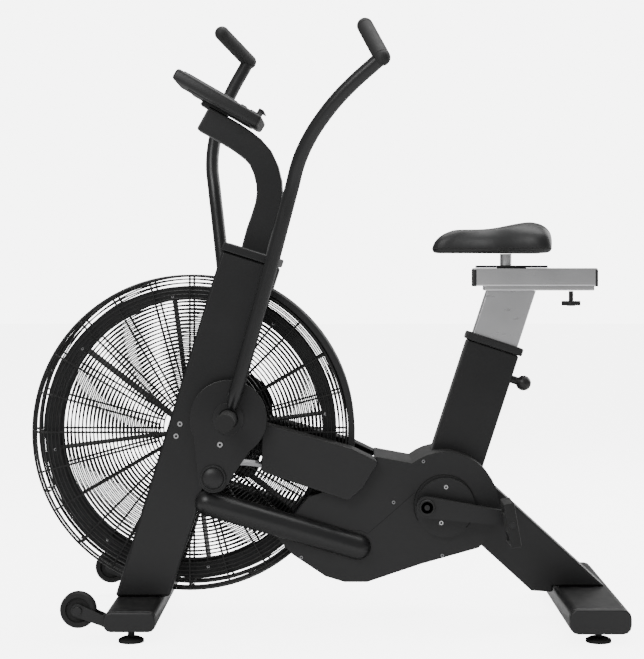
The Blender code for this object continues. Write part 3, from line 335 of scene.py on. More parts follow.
def skin(node, radius=0.0):
    """A smooth copy of a CAD node, with its edges rounded to the radius."""
    name = node + "_skin"
    mesh = joined_copy(node, name)
    if radius:
        holder = bpy.data.objects.new("holder", mesh)
        bpy.context.scene.collection.objects.link(holder)
        bevel = holder.modifiers.new("edges", "BEVEL")
        bevel.width = radius
        bevel.segments = 3
        bevel.limit_method = "ANGLE"
        bevel.angle_limit = BEVEL_ANGLE
        weighted = holder.modifiers.new("flat sides", "WEIGHTED_NORMAL")
        weighted.keep_sharp = True
        shade(mesh, SHARP_BEFORE_BEVEL)
        mesh = evaluated_mesh(holder)
        mesh.name = name
        bpy.data.objects.remove(holder)
    else:
        shade(mesh)
    mesh.materials.clear()
    slot = NODE_SLOT[node]
    return piece(name, mesh, SLOT_FINISH[slot], NODE_BODY[node], (node,))


# %% Skins of the frame and covers
ROUNDED = {"post": 0.003, "front_cap": 0.003, "rear_cap": 0.003, "front_foot": 0.0008,
           "rear_foot": 0.0008, "wheel_bracket": 0.0008, "crank_arm": 0.002, "pedal": 0.0015,
           "foot_peg": 0.002, "lever_plate": 0.0015, "housing": 0.002, "fairing": 0.002}
SINGLE = {"front_stabilizer": 0.003, "rear_stabilizer": 0.003, "seat_tube": 0.003, "rear_leg": 0.003,
          "seat_collar": 0.0015, "seat_post": 0.002, "seat_rail": 0.001, "seat_slider": 0.0008,
          "mast": 0.002, "wind_shroud": 0.003, "rail_knob": 0.0008}
for stem, radius in ROUNDED.items():
    for word in SIDES:
        skin(f"{stem}_{word}", radius)
for node_name, radius in SINGLE.items():
    skin(node_name, radius)
UNROUNDED = ("post_knob", "fan_wheel", "crossbar")
for node_name in UNROUNDED:
    skin(node_name)
print("skins", 2 * len(ROUNDED) + len(SINGLE) + len(UNROUNDED))

# %% [markdown]
# The guard is welded from thin wire: rings a finger's width apart on spokes, and heavier hoops round
# the rim. Drawing a few dozen rings by hand would be slow to change, so a Geometry Nodes tree places
# one circle on a row of points, scales each copy by its index, and sweeps the wire along all of them.
# %% Tree helpers
def geometry_tree(name, inputs):
    tree = bpy.data.node_groups.new(name, "GeometryNodeTree")
    tree.interface.new_socket("Geometry", in_out="INPUT", socket_type="NodeSocketGeometry")
    for label, kind, value in inputs:
        socket = tree.interface.new_socket(label, in_out="INPUT", socket_type="NodeSocket" + kind)
        if value is not None:
            socket.default_value = value
    tree.interface.new_socket("Geometry", in_out="OUTPUT", socket_type="NodeSocketGeometry")
    return tree, tree.nodes.new("NodeGroupInput"), tree.nodes.new("NodeGroupOutput")


def geo(tree, kind, **inputs):
    made = tree.nodes.new(kind)
    for label, value in inputs.items():
        socket = made.inputs[label.replace("_", " ")]
        if isinstance(value, bpy.types.NodeSocket):
            tree.links.new(value, socket)
        else:
            socket.default_value = value
    return made.outputs[0]


def vector_of(tree, x=0.0, y=0.0, z=0.0):
    made = tree.nodes.new("ShaderNodeCombineXYZ")
    for socket, value in zip(made.inputs, (x, y, z)):
        if isinstance(value, bpy.types.NodeSocket):
            tree.links.new(value, socket)
        else:
            socket.default_value = value
    return made.outputs[0]


def join_all(tree, *parts):
    made = tree.nodes.new("GeometryNodeJoinGeometry")
    for part in parts:
        tree.links.new(part, made.inputs[0])
    return made.outputs[0]


def end_tree(tree, start, end, geometry):
    solid = geo(tree, "GeometryNodeRealizeInstances", Geometry=geometry)
    painted = geo(tree, "GeometryNodeSetMaterial", Geometry=solid, Material=start.outputs["Material"])
    tree.links.new(painted, end.inputs[0])


def points_mesh(points, edges=()):
    made = bpy.data.meshes.new("points")
    made.from_pydata([tuple(p) for p in points], edges, [])
    return made


def grow(tree, values, seed):
    """Run a tree on a seed mesh and return the result as a plain mesh."""
    holder = bpy.data.objects.new(tree.name, seed)
    modifier = holder.modifiers.new(tree.name, "NODES")
    modifier.node_group = tree
    for item in tree.interface.items_tree:
        if item.in_out == "INPUT" and item.name in values:
            modifier[item.identifier] = values[item.name]
    bpy.context.scene.collection.objects.link(holder)
    mesh = evaluated_mesh(holder)
    holder.modifiers.remove(modifier)
    bpy.data.objects.remove(holder)
    return mesh


def around(tree, count):
    """Points at the centre, and the turn that spreads them evenly round Z."""
    points = geo(tree, "GeometryNodePoints", Count=count)
    index = tree.nodes.new("GeometryNodeInputIndex").outputs[0]
    step = math_node(tree, "DIVIDE", 2 * math.pi, count)
    return points, vector_of(tree, z=math_node(tree, "MULTIPLY", index, step))


def swept(tree, curves, wire, sides=6):
    """A round wire along every curve; copies of a curve are made real first."""
    curves = geo(tree, "GeometryNodeRealizeInstances", Geometry=curves)
    plain = geo(tree, "GeometryNodeSetCurveRadius", Curve=curves, Radius=1.0)
    profile = geo(tree, "GeometryNodeCurvePrimitiveCircle", Resolution=sides, Radius=wire)
    made = tree.nodes.new("GeometryNodeCurveToMesh")
    tree.links.new(plain, made.inputs["Curve"])
    tree.links.new(profile, made.inputs["Profile Curve"])
    made.inputs["Fill Caps"].default_value = True
    return made.outputs[0]


print("tree helpers ready")

# %% The grille tree: rings and spokes of one side
grille, grille_in, grille_out = geometry_tree("wire_grille", [
    ("Inner Radius", "Float", 0.066), ("Pitch", "Float", 0.008), ("Rings", "Int", 33),
    ("Outer Radius", "Float", 0.33), ("Ring Wire", "Float", 0.0016), ("Spokes", "Int", 24),
    ("Spoke Wire", "Float", 0.0021), ("Material", "Material", None)])
ring_points = geo(grille, "GeometryNodePoints", Count=grille_in.outputs["Rings"])
ring_index = grille.nodes.new("GeometryNodeInputIndex").outputs[0]
ring_step = math_node(grille, "MULTIPLY", ring_index, grille_in.outputs["Pitch"])
ring_size = math_node(grille, "ADD", ring_step, grille_in.outputs["Inner Radius"])
unit_circle = geo(grille, "GeometryNodeCurvePrimitiveCircle", Resolution=112, Radius=1.0)
rings = geo(grille, "GeometryNodeInstanceOnPoints", Points=ring_points, Instance=unit_circle,
            Scale=vector_of(grille, ring_size, ring_size, ring_size))
rings = swept(grille, rings, grille_in.outputs["Ring Wire"])
spoke_points, spoke_turn = around(grille, grille_in.outputs["Spokes"])
spoke = geo(grille, "GeometryNodeCurvePrimitiveLine",
            Start=vector_of(grille, grille_in.outputs["Inner Radius"]),
            End=vector_of(grille, grille_in.outputs["Outer Radius"]))
spokes = geo(grille, "GeometryNodeInstanceOnPoints", Points=spoke_points, Instance=spoke,
             Rotation=spoke_turn)
spokes = swept(grille, spokes, grille_in.outputs["Spoke Wire"])
end_tree(grille, grille_in, grille_out, join_all(grille, rings, spokes))
print("grille nodes", len(grille.nodes))

# %% [markdown]
# Thicker hoops and short cross wires close the guard's rim. They could be drawn as curves one by one,
# but the helpers above do it again: a circle on a row of heights, and one wire turned round the axis.
# Each cross wire leans a little, by the tree's Slant value.
# %% The rim tree: hoops across the guard's width, and cross wires between them
rim_tree, rim_in, rim_out = geometry_tree("guard_rim", [
    ("Radius", "Float", 0.33), ("Width", "Float", 0.056), ("Hoops", "Int", 2),
    ("Hoop Wire", "Float", 0.002), ("Cross Wires", "Int", 16), ("Slant", "Float", 0.004),
    ("Material", "Material", None)])
hoop_index = rim_tree.nodes.new("GeometryNodeInputIndex").outputs[0]
hoop_share = math_node(rim_tree, "DIVIDE", hoop_index, rim_in.outputs["Hoops"])
hoop_level = math_node(rim_tree, "SUBTRACT", 1.0, hoop_share)
hoop_height = math_node(rim_tree, "MULTIPLY", hoop_level, rim_in.outputs["Width"])
hoop_points = geo(rim_tree, "GeometryNodePoints", Count=rim_in.outputs["Hoops"],
                  Position=vector_of(rim_tree, z=hoop_height))
hoop_circle = geo(rim_tree, "GeometryNodeCurvePrimitiveCircle", Resolution=140,
                  Radius=rim_in.outputs["Radius"])
hoops = geo(rim_tree, "GeometryNodeInstanceOnPoints", Points=hoop_points, Instance=hoop_circle)
hoops = swept(rim_tree, hoops, rim_in.outputs["Hoop Wire"], 8)
cross_points, cross_turn = around(rim_tree, rim_in.outputs["Cross Wires"])
slant_back = math_node(rim_tree, "MULTIPLY", rim_in.outputs["Slant"], -1.0)
cross_line = geo(rim_tree, "GeometryNodeCurvePrimitiveLine",
                 Start=vector_of(rim_tree, rim_in.outputs["Radius"], rim_in.outputs["Slant"]),
                 End=vector_of(rim_tree, rim_in.outputs["Radius"], slant_back, rim_in.outputs["Width"]))
crosses = geo(rim_tree, "GeometryNodeInstanceOnPoints", Points=cross_points, Instance=cross_line,
              Rotation=cross_turn)
crosses = swept(rim_tree, crosses, rim_in.outputs["Hoop Wire"])
end_tree(rim_tree, rim_in, rim_out, join_all(rim_tree, hoops, crosses))
print("rim nodes", len(rim_tree.nodes))

# %% Weld both sides of the guard
def centre_of(node):
    low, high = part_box(node)
    return (low + high) / 2, (high - low) / 2


def joined(name, *meshes):
    bm = bmesh.new()
    for mesh in meshes:
        bm.from_mesh(mesh)
    made = bpy.data.meshes.new(name)
    bm.to_mesh(made)
    bm.free()
    return shade(made, 50)


fan_centre, fan_reach = centre_of("fan_wheel")
guard_low, guard_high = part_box("guard_left")
HOOP_WIRE = 0.0026
guard_radius = (guard_high.x - guard_low.x) / 2 - HOOP_WIRE
guard_half = -guard_low.y - HOOP_WIRE
for word, side in SIDES.items():
    hub = points_mesh([(0, 0, 0)])
    flat = grow(grille, {"Outer Radius": guard_radius, "Material": WIRE}, hub)
    flat.transform(Matrix.Translation((0, 0, guard_half)))
    rim_values = {"Radius": guard_radius, "Width": guard_half, "Hoop Wire": HOOP_WIRE, "Material": WIRE}
    edge = grow(rim_tree, rim_values, hub)
    mesh = joined("guard_wires_" + word, flat, edge)
    mesh.transform(Matrix.Translation(fan_centre) @ Matrix.Rotation(-side * math.pi / 2, 4, "X"))
    piece(mesh.name, mesh, WIRE, "frame", ("guard_" + word,))
    print(mesh.name, len(mesh.polygons), "faces")

# %% [markdown]
# Round pieces such as caps, wheels and grips are turned on a lathe or moulded in a round tool. A
# profile of radius and height, spun about an axis, describes them fully, so one helper makes them all.
# %% Turned pieces
def turned_mesh(name, profile, start, direction, steps=56, closed=False):
    """Spin a profile of (radius, distance along the axis); closed joins its two ends."""
    turn = Vector((0, 0, 1)).rotation_difference(Vector(direction)).to_matrix()
    bm = bmesh.new()
    rows = []
    for radius, along in profile:
        row = []
        for k in range(steps):
            a = 2 * math.pi * k / steps
            spot = Vector((radius * math.cos(a), radius * math.sin(a), along))
            row.append(bm.verts.new(Vector(start) + turn @ spot))
        rows.append(row)
    pairs = list(zip(rows, rows[1:] + rows[:1] if closed else rows[1:]))
    for near, far in pairs:
        for k in range(steps):
            bm.faces.new((near[k], near[(k + 1) % steps], far[(k + 1) % steps], far[k]))
    if not closed:
        bm.faces.new(rows[0])
        bm.faces.new(rows[-1])
    bmesh.ops.recalc_face_normals(bm, faces=bm.faces)
    mesh = bpy.data.meshes.new(name)
    bm.to_mesh(mesh)
    bm.free()
    return shade(mesh)


POLE = 0.0002               # radius at a closed end, too small to see


def capsule(radius, length, steps=10):
    """Profile of a rod with round ends that touch 0 and length."""
    angles = [math.pi / 2 * i / steps for i in range(steps + 1)]
    start = [(max(radius * math.sin(a), POLE), radius - radius * math.cos(a)) for a in angles]
    return start + [(r, length - a) for r, a in reversed(start)]


for word in SIDES:
    centre, reach = centre_of("wheel_" + word)
    half, rim = reach.y, reach.x
    hub = [(0.0055, -0.8 * half), (0.0125, -0.8 * half), (0.0135, -0.5 * half), (0.0235, -0.5 * half),
           (0.0250, -0.95 * half), (0.0330, -half), (rim - 0.001, -0.75 * half), (rim, -0.5 * half)]
    profile = hub + [(r, -a) for r, a in reversed(hub)]
    mesh = turned_mesh("transport_wheel_" + word, profile, centre, (0, 1, 0), 64, True)
    piece(mesh.name, mesh, RUBBER, "wheel_" + word, ("wheel_" + word,))

TUBE_FRONT = (-0.2367, 0.118, 0.2597)
TUBE_REAR = (0.0725, 0.0942, 0.1649)
TUBE_RADIUS = 0.0268
for word, side in SIDES.items():
    front = Vector((TUBE_FRONT[0], side * TUBE_FRONT[1], TUBE_FRONT[2]))
    run = Vector((TUBE_REAR[0], side * TUBE_REAR[1], TUBE_REAR[2])) - front
    profile = capsule(TUBE_RADIUS, run.length + 2 * TUBE_RADIUS)
    mesh = turned_mesh("round_side_tube_" + word, profile, front - run.normalized() * TUBE_RADIUS, run)
    piece(mesh.name, mesh, FRAME_PAINT, "frame", ("side_tube_" + word,))
print("wheels and side tubes turned")

# %% [markdown]
# An arm lever is one steel tube, bent on a machine in several soft bends, with a foam grip across its
# top. A Bezier curve through the bend points gives the soft line that a string of straight cuts lacks.
# %% Levers and grips
LEVER_ROUTE = [(-0.1890, 0.1535, 0.447), (-0.1840, 0.1575, 0.464), (-0.1775, 0.1615, 0.487),
               (-0.1372, 0.170, 0.631), (-0.1033, 0.180, 0.752), (-0.0820, 0.190, 0.830),
               (-0.0612, 0.200, 0.907), (-0.0467, 0.215, 0.9586), (-0.0244, 0.230, 1.0055),
               (0.0017, 0.245, 1.0441), (0.0280, 0.258, 1.076), (0.0572, 0.270, 1.1055),
               (0.1100, 0.2895, 1.1510)]
LEVER_TAPER = [0.30, 0.75]
LEVER_RADIUS = 0.0145
GRIP_ENDS = ((0.1234, 0.305, 1.145), (0.0807, 0.210, 1.240))
GRIP_RADIUS = 0.0165
PIVOT = PIN_PLACE["lever_left_swing"]
SWING = math.radians(22)


def lever_place(point, side):
    """A point of the left lever, mirrored for the right one and turned by the full swing."""
    turn = Matrix.Rotation(0.0 if side < 0 else -SWING, 3, "Y")
    offset = turn @ Vector((point[0] - PIVOT.x, 0, point[2] - PIVOT.z))
    return Vector((PIVOT.x + offset.x, side * point[1], PIVOT.z + offset.z))


def bent_tube(name, points, radius, taper=()):
    curve = bpy.data.curves.new(name, "CURVE")
    curve.dimensions = "3D"
    curve.bevel_depth = radius
    curve.bevel_resolution = 8
    curve.use_fill_caps = True
    spline = curve.splines.new("BEZIER")
    spline.resolution_u = 8
    spline.bezier_points.add(len(points) - 1)
    for i, (knot, place) in enumerate(zip(spline.bezier_points, points)):
        knot.co = place
        knot.handle_left_type = knot.handle_right_type = "AUTO"
        knot.radius = taper[i] if i < len(taper) else 1.0
    holder = bpy.data.objects.new(name, curve)
    bpy.context.scene.collection.objects.link(holder)
    mesh = evaluated_mesh(holder)
    bpy.data.objects.remove(holder)
    bm = bmesh.new()
    bm.from_mesh(mesh)
    bmesh.ops.remove_doubles(bm, verts=bm.verts, dist=0.00001)
    bm.to_mesh(mesh)
    bm.free()
    mesh.name = name
    return shade(mesh, 50)


for word, side in SIDES.items():
    route = [lever_place(p, side) for p in LEVER_ROUTE]
    mesh = bent_tube("bent_lever_" + word, route, LEVER_RADIUS, LEVER_TAPER)
    piece(mesh.name, mesh, FRAME_PAINT, "lever_" + word, ("lever_" + word,))
    outer, inner = (lever_place(p, side) for p in GRIP_ENDS)
    length = (inner - outer).length
    profile = capsule(GRIP_RADIUS, length)
    groove = [(GRIP_RADIUS, 0.0185), (GRIP_RADIUS - 0.0006, 0.0190), (GRIP_RADIUS - 0.0006, 0.0196),
              (GRIP_RADIUS, 0.0201)]
    middle = len(profile) // 2
    profile = profile[:middle] + groove + [(r, length - a) for r, a in reversed(groove)] + profile[middle:]
    mesh = turned_mesh("foam_grip_" + word, profile, outer, inner - outer)
    piece(mesh.name, mesh, FOAM, "lever_" + word, ("grip_" + word,))
print("levers bent, grips turned")

# %% [markdown]
# On the lever plate the rod's pin and the lever's pivot would show as bare bolt ends. A stepped round
# cap hides the pin, and a flat washer lies round the pivot. A plain disc would do from afar, but the
# step catches a ring of light close up. Both are turned, and both swing with their lever.
# %% Caps on the rod pins, washers on the lever pivots
for word, side in SIDES.items():
    pin = PIN_PLACE[f"rod_{word}_turn"]
    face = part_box("lever_plate_" + word)[0 if side < 0 else 1].y
    dome = [(0.0265, 0.0), (0.0265, 0.004), (0.0250, 0.0055), (0.0230, 0.0055), (0.0225, 0.0040),
            (0.0215, 0.0040), (0.0205, 0.0075), (0.0165, 0.0105), (0.0090, 0.0125), (POLE, 0.0130)]
    mesh = turned_mesh("pin_cap_" + word, dome, (pin.x, face, pin.z), (0, side, 0))
    piece(mesh.name, mesh, COVER, "lever_" + word)
    hub = [(0.0330, 0.0), (0.0330, 0.0025), (0.0320, 0.0035), (0.0205, 0.0035), (0.0205, 0.0)]
    mesh = turned_mesh("pivot_washer_" + word, hub, (PIVOT.x, face, PIVOT.z), (0, side, 0), closed=True)
    piece(mesh.name, mesh, COVER, "lever_" + word)
print("pin caps and washers")

# %% [markdown]
# Screws hold the covers and plates. One tree sets the same socket head on any list of points: a
# tapered head, and on its top a flat dark hexagon that is painted shade, standing for the shade inside
# the six-sided recess. The points are found by dropping a line on to the model from outside, so that
# every head sits on the surface that it clamps. Only the fan's rim bolts are set by sums, on a circle
# at the wheel's face, and they turn with it.
# %% The screw tree
screw_tree, screw_in, screw_out = geometry_tree("socket_screws", [
    ("Head Radius", "Float", 0.005), ("Head Height", "Float", 0.002), ("Facing", "Float", -1.0),
    ("Material", "Material", None), ("Recess Shade", "Material", None)])
head_radius, head_height = screw_in.outputs["Head Radius"], screw_in.outputs["Head Height"]
crown = tuple(math_node(screw_tree, "MULTIPLY", head_radius, share) for share in (0.84, 0.46))
head = geo(screw_tree, "GeometryNodeMeshCone", Vertices=24, Radius_Top=crown[0], Radius_Bottom=head_radius,
           Depth=head_height)
# The recess is not cut: a flat dark hexagon just above the head's top is painted shade of the socket.
recess_shade_lift = vector_of(screw_tree, z=math_node(screw_tree, "ADD", head_height, 0.00015))
recess_shade = geo(screw_tree, "GeometryNodeMeshCircle", Vertices=6, Radius=crown[1])
recess_shade.node.fill_type = "NGON"
recess_shade = geo(screw_tree, "GeometryNodeTransform", Geometry=recess_shade, Translation=recess_shade_lift)
head = geo(screw_tree, "GeometryNodeSetMaterial", Geometry=head, Material=screw_in.outputs["Material"])
recess_shade = geo(screw_tree, "GeometryNodeSetMaterial", Geometry=recess_shade, Material=screw_in.outputs["Recess Shade"])
turn = vector_of(screw_tree, math_node(screw_tree, "MULTIPLY", screw_in.outputs["Facing"], -math.pi / 2))
heads = geo(screw_tree, "GeometryNodeInstanceOnPoints", Points=screw_in.outputs["Geometry"],
            Instance=join_all(screw_tree, head, recess_shade), Rotation=turn)
screw_tree.links.new(geo(screw_tree, "GeometryNodeRealizeInstances", Geometry=heads), screw_out.inputs[0])
print("screw nodes", len(screw_tree.nodes))

# %% Screws on their surfaces
def surface_tree(*nodes):
    bm = bmesh.new()
    for node in nodes:
        bm.from_mesh(frame["nodes"][node].data)
    tree = BVHTree.FromBMesh(bm)
    bm.free()
    return tree


def dropped(tree, x, z, side):
    """The first point of the surface below a line that comes from the side, or None."""
    return tree.ray_cast(Vector((x, side, z)), Vector((0, -side, 0)))[0]


SCREW_SIZES = {"cover": (0.0042, 0.0016, STEEL), "disc": (0.0052, 0.0020, ZINC),
               "post": (0.0062, 0.0022, ZINC), "plate": (0.0066, 0.0024, ZINC),
               "rim": (0.0036, 0.0014, ZINC)}


def screws(name, kind, points, side, body):
    """Heads of one size on points that were found, skipping any that missed; returns how many."""
    radius, height, material = SCREW_SIZES[kind]
    values = {"Head Radius": radius, "Head Height": height, "Facing": side, "Material": material,
              "Recess Shade": SHADOW}
    found = [p for p in points if p]
    mesh = grow(screw_tree, values, points_mesh(found))
    mesh.name = name
    shade(mesh, 30)
    piece(name, mesh, material, body)
    return len(found)


COVER_SCREWS = [(0.2086, 0.3425), (-0.0450, 0.1430), (0.2478, 0.1470), (0.1468, 0.2576)]
DISC_SCREWS = [(0.2550, 0.2905), (0.2450, 0.2165)]
PLATE_BOLTS = [(0.0059, 0.0500), (-0.0166, -0.0530)]      # from the lever's pivot
POST_BOLTS = [(-0.0150, 0.0230), (-0.0230, -0.0020)]      # from the fan's axle
RIM_BOLT_CIRCLE = 0.287
RIM_BOLT_ANGLES = [math.radians(7.5 + 45 * i) for i in range(8)]
count = 0
for word, side in SIDES.items():
    covers = surface_tree("housing_" + word, "fairing_" + word)
    posts = surface_tree("post_" + word)
    plates = surface_tree("lever_plate_" + word)
    hits = [dropped(covers, x, z, side) for x, z in COVER_SCREWS]
    count += screws("cover_screws_" + word, "cover", hits, side, "frame")
    hits = [dropped(covers, x, z, side) for x, z in DISC_SCREWS]
    count += screws("disc_screws_" + word, "disc", hits, side, "frame")
    hits = [dropped(posts, fan_centre.x + x, fan_centre.z + z, side) for x, z in POST_BOLTS]
    count += screws("post_bolts_" + word, "post", hits, side, "frame")
    spots = [lever_place((PIVOT.x + x, 0, PIVOT.z + z), side) for x, z in PLATE_BOLTS]
    hits = [dropped(plates, s.x, s.z, side) for s in spots]
    count += screws("plate_bolts_" + word, "plate", hits, side, "lever_" + word)
    hits = [(fan_centre.x + RIM_BOLT_CIRCLE * math.cos(a), side * fan_reach.y,
             fan_centre.z + RIM_BOLT_CIRCLE * math.sin(a)) for a in RIM_BOLT_ANGLES]
    count += screws("fan_bolts_" + word, "rim", hits, side, "fan")
print("screws", count)

# %% [markdown]
# The pedal crank turns in front of a round cover. The cover has an open ring groove, and a fine joint
# runs forward from it where two mouldings meet. Grooves this fine would need heavy boolean work, so a
# dark line lies in them instead, half sunk in the surface: it is painted shade, standing for the shade
# inside the groove and the joint, and reads the same.
# %% Grooves and joints of the covers
GROOVE_CENTRE = (0.2519, 0.2519)
GROOVE_RADIUS = 0.0633
GROOVE_WIRE = 0.0013
GROOVE_FROM = 210           # degrees, turning backwards over the top
GROOVE_SPAN = 255
GROOVE_STEPS = 40
JOINT_WIRE = 0.0006
SUNK = 0.55                 # share of a line's radius that lies under the surface
JOINT_LINE = [(0.0400, 0.1995), (0.0790, 0.1990), (0.0930, 0.1925), (0.1400, 0.2330), (0.1900, 0.2775)]


def dropped_line(name, tree, route, side, wire):
    hits = [dropped(tree, x, z, side) for x, z in route]
    spots = [h - Vector((0, side * wire * SUNK, 0)) for h in hits if h]
    return bent_tube(name, spots, wire)


def sampled(points, count):
    """Evenly spaced points along straight runs."""
    runs = [(Vector(b) - Vector(a)).length for a, b in zip(points, points[1:])]
    result = []
    for i in range(count):
        left = sum(runs) * i / (count - 1)
        k = 0
        while k < len(runs) - 1 and left > runs[k]:
            left -= runs[k]
            k += 1
        result.append(tuple(Vector(points[k]).lerp(Vector(points[k + 1]), min(left / runs[k], 1.0))))
    return result


for word, side in SIDES.items():
    covers = surface_tree("housing_" + word)
    turns = [math.radians(GROOVE_FROM - GROOVE_SPAN * i / GROOVE_STEPS) for i in range(GROOVE_STEPS + 1)]
    ring = [(GROOVE_CENTRE[0] + GROOVE_RADIUS * math.cos(a), GROOVE_CENTRE[1] + GROOVE_RADIUS * math.sin(a))
            for a in turns]
    # The groove and joint lines are painted shade: dark lines in the SHADOW finish that stand for the shade inside
    # them.
    mesh = dropped_line("cover_groove_shade_" + word, covers, ring, side, GROOVE_WIRE)
    piece(mesh.name, mesh, SHADOW, "frame")
    mesh = dropped_line("cover_joint_shade_" + word, covers, sampled(JOINT_LINE, GROOVE_STEPS), side, JOINT_WIRE)
    piece(mesh.name, mesh, SHADOW, "frame")
print("grooves and joints laid")

# %% [markdown]
# Each crank arm is clamped on its axle by a bolt. A dark turned cap with a small centre boss hides it.
# %% Crank caps
CAP_PROUD = 0.0012
crank_centre = PIN_PLACE["crank_spin"]
for word, side in SIDES.items():
    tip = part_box("crank_axle")[0 if side < 0 else 1].y
    cap = [(0.0165, -0.0045), (0.0165, -0.001), (0.0155, 0.0), (0.0125, 0.0), (0.0120, -0.0012),
           (0.0060, -0.0012), (0.0055, 0.0002), (POLE, 0.0004)]
    place = (crank_centre.x, tip + side * CAP_PROUD, crank_centre.z)
    mesh = turned_mesh("crank_cap_" + word, cap, place, (0, side, 0))
    piece(mesh.name, mesh, COVER, "crank")
print("crank caps")

# %% [markdown]
# The console is a moulded case that leans towards the rider. A dark display in a thin frame, a row of
# soft keys and a small ledge for a telephone sit on its face. All of it is made flat round the origin and
# then leaned and placed once, which is easier to size than working at an angle.
# %% Console
CONSOLE_LEAN = math.radians(30)


def block(size, place, radius):
    bm = bmesh.new()
    bmesh.ops.create_cube(bm, size=1.0, matrix=Matrix.Translation(place) @ Matrix.Diagonal((*size, 1)))
    bmesh.ops.bevel(bm, geom=bm.edges, offset=radius, segments=3, affect="EDGES", profile=0.5)
    mesh = bpy.data.meshes.new("block")
    bm.to_mesh(mesh)
    bm.free()
    return mesh


console_centre, _ = centre_of("console")
console_frame = Matrix.Translation(console_centre) @ Matrix.Rotation(CONSOLE_LEAN, 4, "Y")
console_case = [block((0.206, 0.168, 0.026), (0, 0, 0.001), 0.0075),
                block((0.150, 0.120, 0.010), (0.010, 0, -0.010), 0.004)]
console_keys = [block((0.013, 0.022, 0.0030), (0.056, -0.056 + 0.028 * i, 0.0150), 0.0012) for i in range(5)]
console_ledge = [block((0.004, 0.110, 0.016), (0.0870, 0, 0.0200), 0.0015),
                 block((0.018, 0.110, 0.004), (0.0800, 0, 0.0150), 0.0015),
                 block((0.010, 0.110, 0.003), (0.0915, 0, 0.0265), 0.0012)]
console_parts = {
    "console_case": (console_case, COVER),
    "console_bezel": ([block((0.128, 0.136, 0.0030), (-0.024, 0, 0.0145), 0.0012)], KEYS),
    "console_display": ([block((0.112, 0.120, 0.0030), (-0.024, 0, 0.0155), 0.0010)], GLASS),
    "console_keys": (console_keys, KEYS),
    "console_ledge": (console_ledge, COVER)}
for name, (blocks, material) in console_parts.items():
    mesh = joined(name, *blocks)
    mesh.transform(console_frame)
    made = piece(name, mesh, material, "frame")
    if name == "console_case":
        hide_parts("console")
print("console parts", len(console_parts))

# %% [markdown]
# The saddle is foam on a shell under stretched vinyl. A loft of a few cross-sections gives the narrow
# nose and the raised back, and a short cloth simulation with air pressure fills it out, as foam fills
# a cover. The bottom stays flat on its shell, and no point may wander more than a few millimetres.
# %% Saddle shape
# share of the length, half width, height
SADDLE_SECTIONS = [(0.000, 0.012, 0.016), (0.030, 0.022, 0.030), (0.080, 0.028, 0.041),
                   (0.150, 0.033, 0.047), (0.280, 0.038, 0.0485), (0.400, 0.046, 0.0480),
                   (0.500, 0.058, 0.0495), (0.600, 0.078, 0.0540), (0.700, 0.097, 0.0600),
                   (0.850, 0.112, 0.0660), (0.930, 0.109, 0.0630), (0.980, 0.097, 0.0530),
                   (1.000, 0.082, 0.0420)]
SADDLE_POINTS = 24          # points round a section
SADDLE_FLOOR = 0.001        # height of the flat underside above the CAD solid's
SADDLE_TUCK = 0.85          # share of the width that the underside keeps
SIDE_ROUND = 0.72           # powers below 1 make a section squarer than an ellipse
TOP_ROUND = 0.62
SADDLE_SHRINK = 0.003       # room that the pressure fills again
SADDLE_CAP = 0.006          # furthest that the pressure may move a point
SADDLE_VOXEL = 0.005
saddle_low, saddle_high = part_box("saddle")


def saddle_loft():
    length = saddle_high.x - saddle_low.x - 2 * SADDLE_SHRINK
    bm = bmesh.new()
    rows = []
    for share, half, height in SADDLE_SECTIONS:
        row = []
        for k in range(SADDLE_POINTS):
            a = 2 * math.pi * k / SADDLE_POINTS
            across = math.copysign(abs(math.cos(a)) ** SIDE_ROUND, math.cos(a)) * (half - SADDLE_SHRINK)
            up = abs(math.sin(a)) ** TOP_ROUND * (height - SADDLE_SHRINK) if math.sin(a) > 0 else 0.0
            tuck = SADDLE_TUCK if math.sin(a) < 0 else 1.0
            along = saddle_low.x + SADDLE_SHRINK + share * length
            row.append(bm.verts.new((along, across * tuck, saddle_low.z + SADDLE_FLOOR + up)))
        rows.append(row)
    for near, far in zip(rows, rows[1:]):
        for k in range(SADDLE_POINTS):
            after = (k + 1) % SADDLE_POINTS
            bm.faces.new((near[k], near[after], far[after], far[k]))
    bm.faces.new(rows[0])
    bm.faces.new(rows[-1])
    bmesh.ops.recalc_face_normals(bm, faces=bm.faces)
    mesh = bpy.data.meshes.new("saddle_pad")
    bm.to_mesh(mesh)
    bm.free()
    return mesh


saddle = bpy.data.objects.new("saddle_pad", saddle_loft())
bpy.context.scene.collection.objects.link(saddle)
soften = saddle.modifiers.new("soften", "SUBSURF")
soften.levels = soften.render_levels = 1
voxels = saddle.modifiers.new("even skin", "REMESH")
voxels.mode = "VOXEL"
voxels.voxel_size = SADDLE_VOXEL
saddle.data = evaluated_mesh(saddle)
saddle.modifiers.clear()
print("saddle skin", len(saddle.data.vertices), "points")


# %% Fill the saddle
SADDLE_PRESSURE = 4.0
SADDLE_BASE = 0.0006        # least height above the CAD solid's underside
SADDLE_RISE = 0.001         # most height above its top


def inflate(pad, cap, frames=20):
    before = [v.co.copy() for v in pad.data.vertices]
    cloth = pad.modifiers.new("cover", "CLOTH")
    cloth.settings.use_pressure = True
    cloth.settings.uniform_pressure_force = SADDLE_PRESSURE
    cloth.settings.effector_weights.gravity = 0.0
    cloth.point_cache.frame_start = 1
    cloth.point_cache.frame_end = frames
    for frame_number in range(1, frames + 1):
        bpy.context.scene.frame_set(frame_number)
    filled = evaluated_mesh(pad)
    pad.modifiers.clear()
    bpy.context.scene.frame_set(1)
    for vertex, start in zip(filled.vertices, before):
        shift = vertex.co - start
        if shift.length > cap:
            vertex.co = start + shift * (cap / shift.length)
    return filled


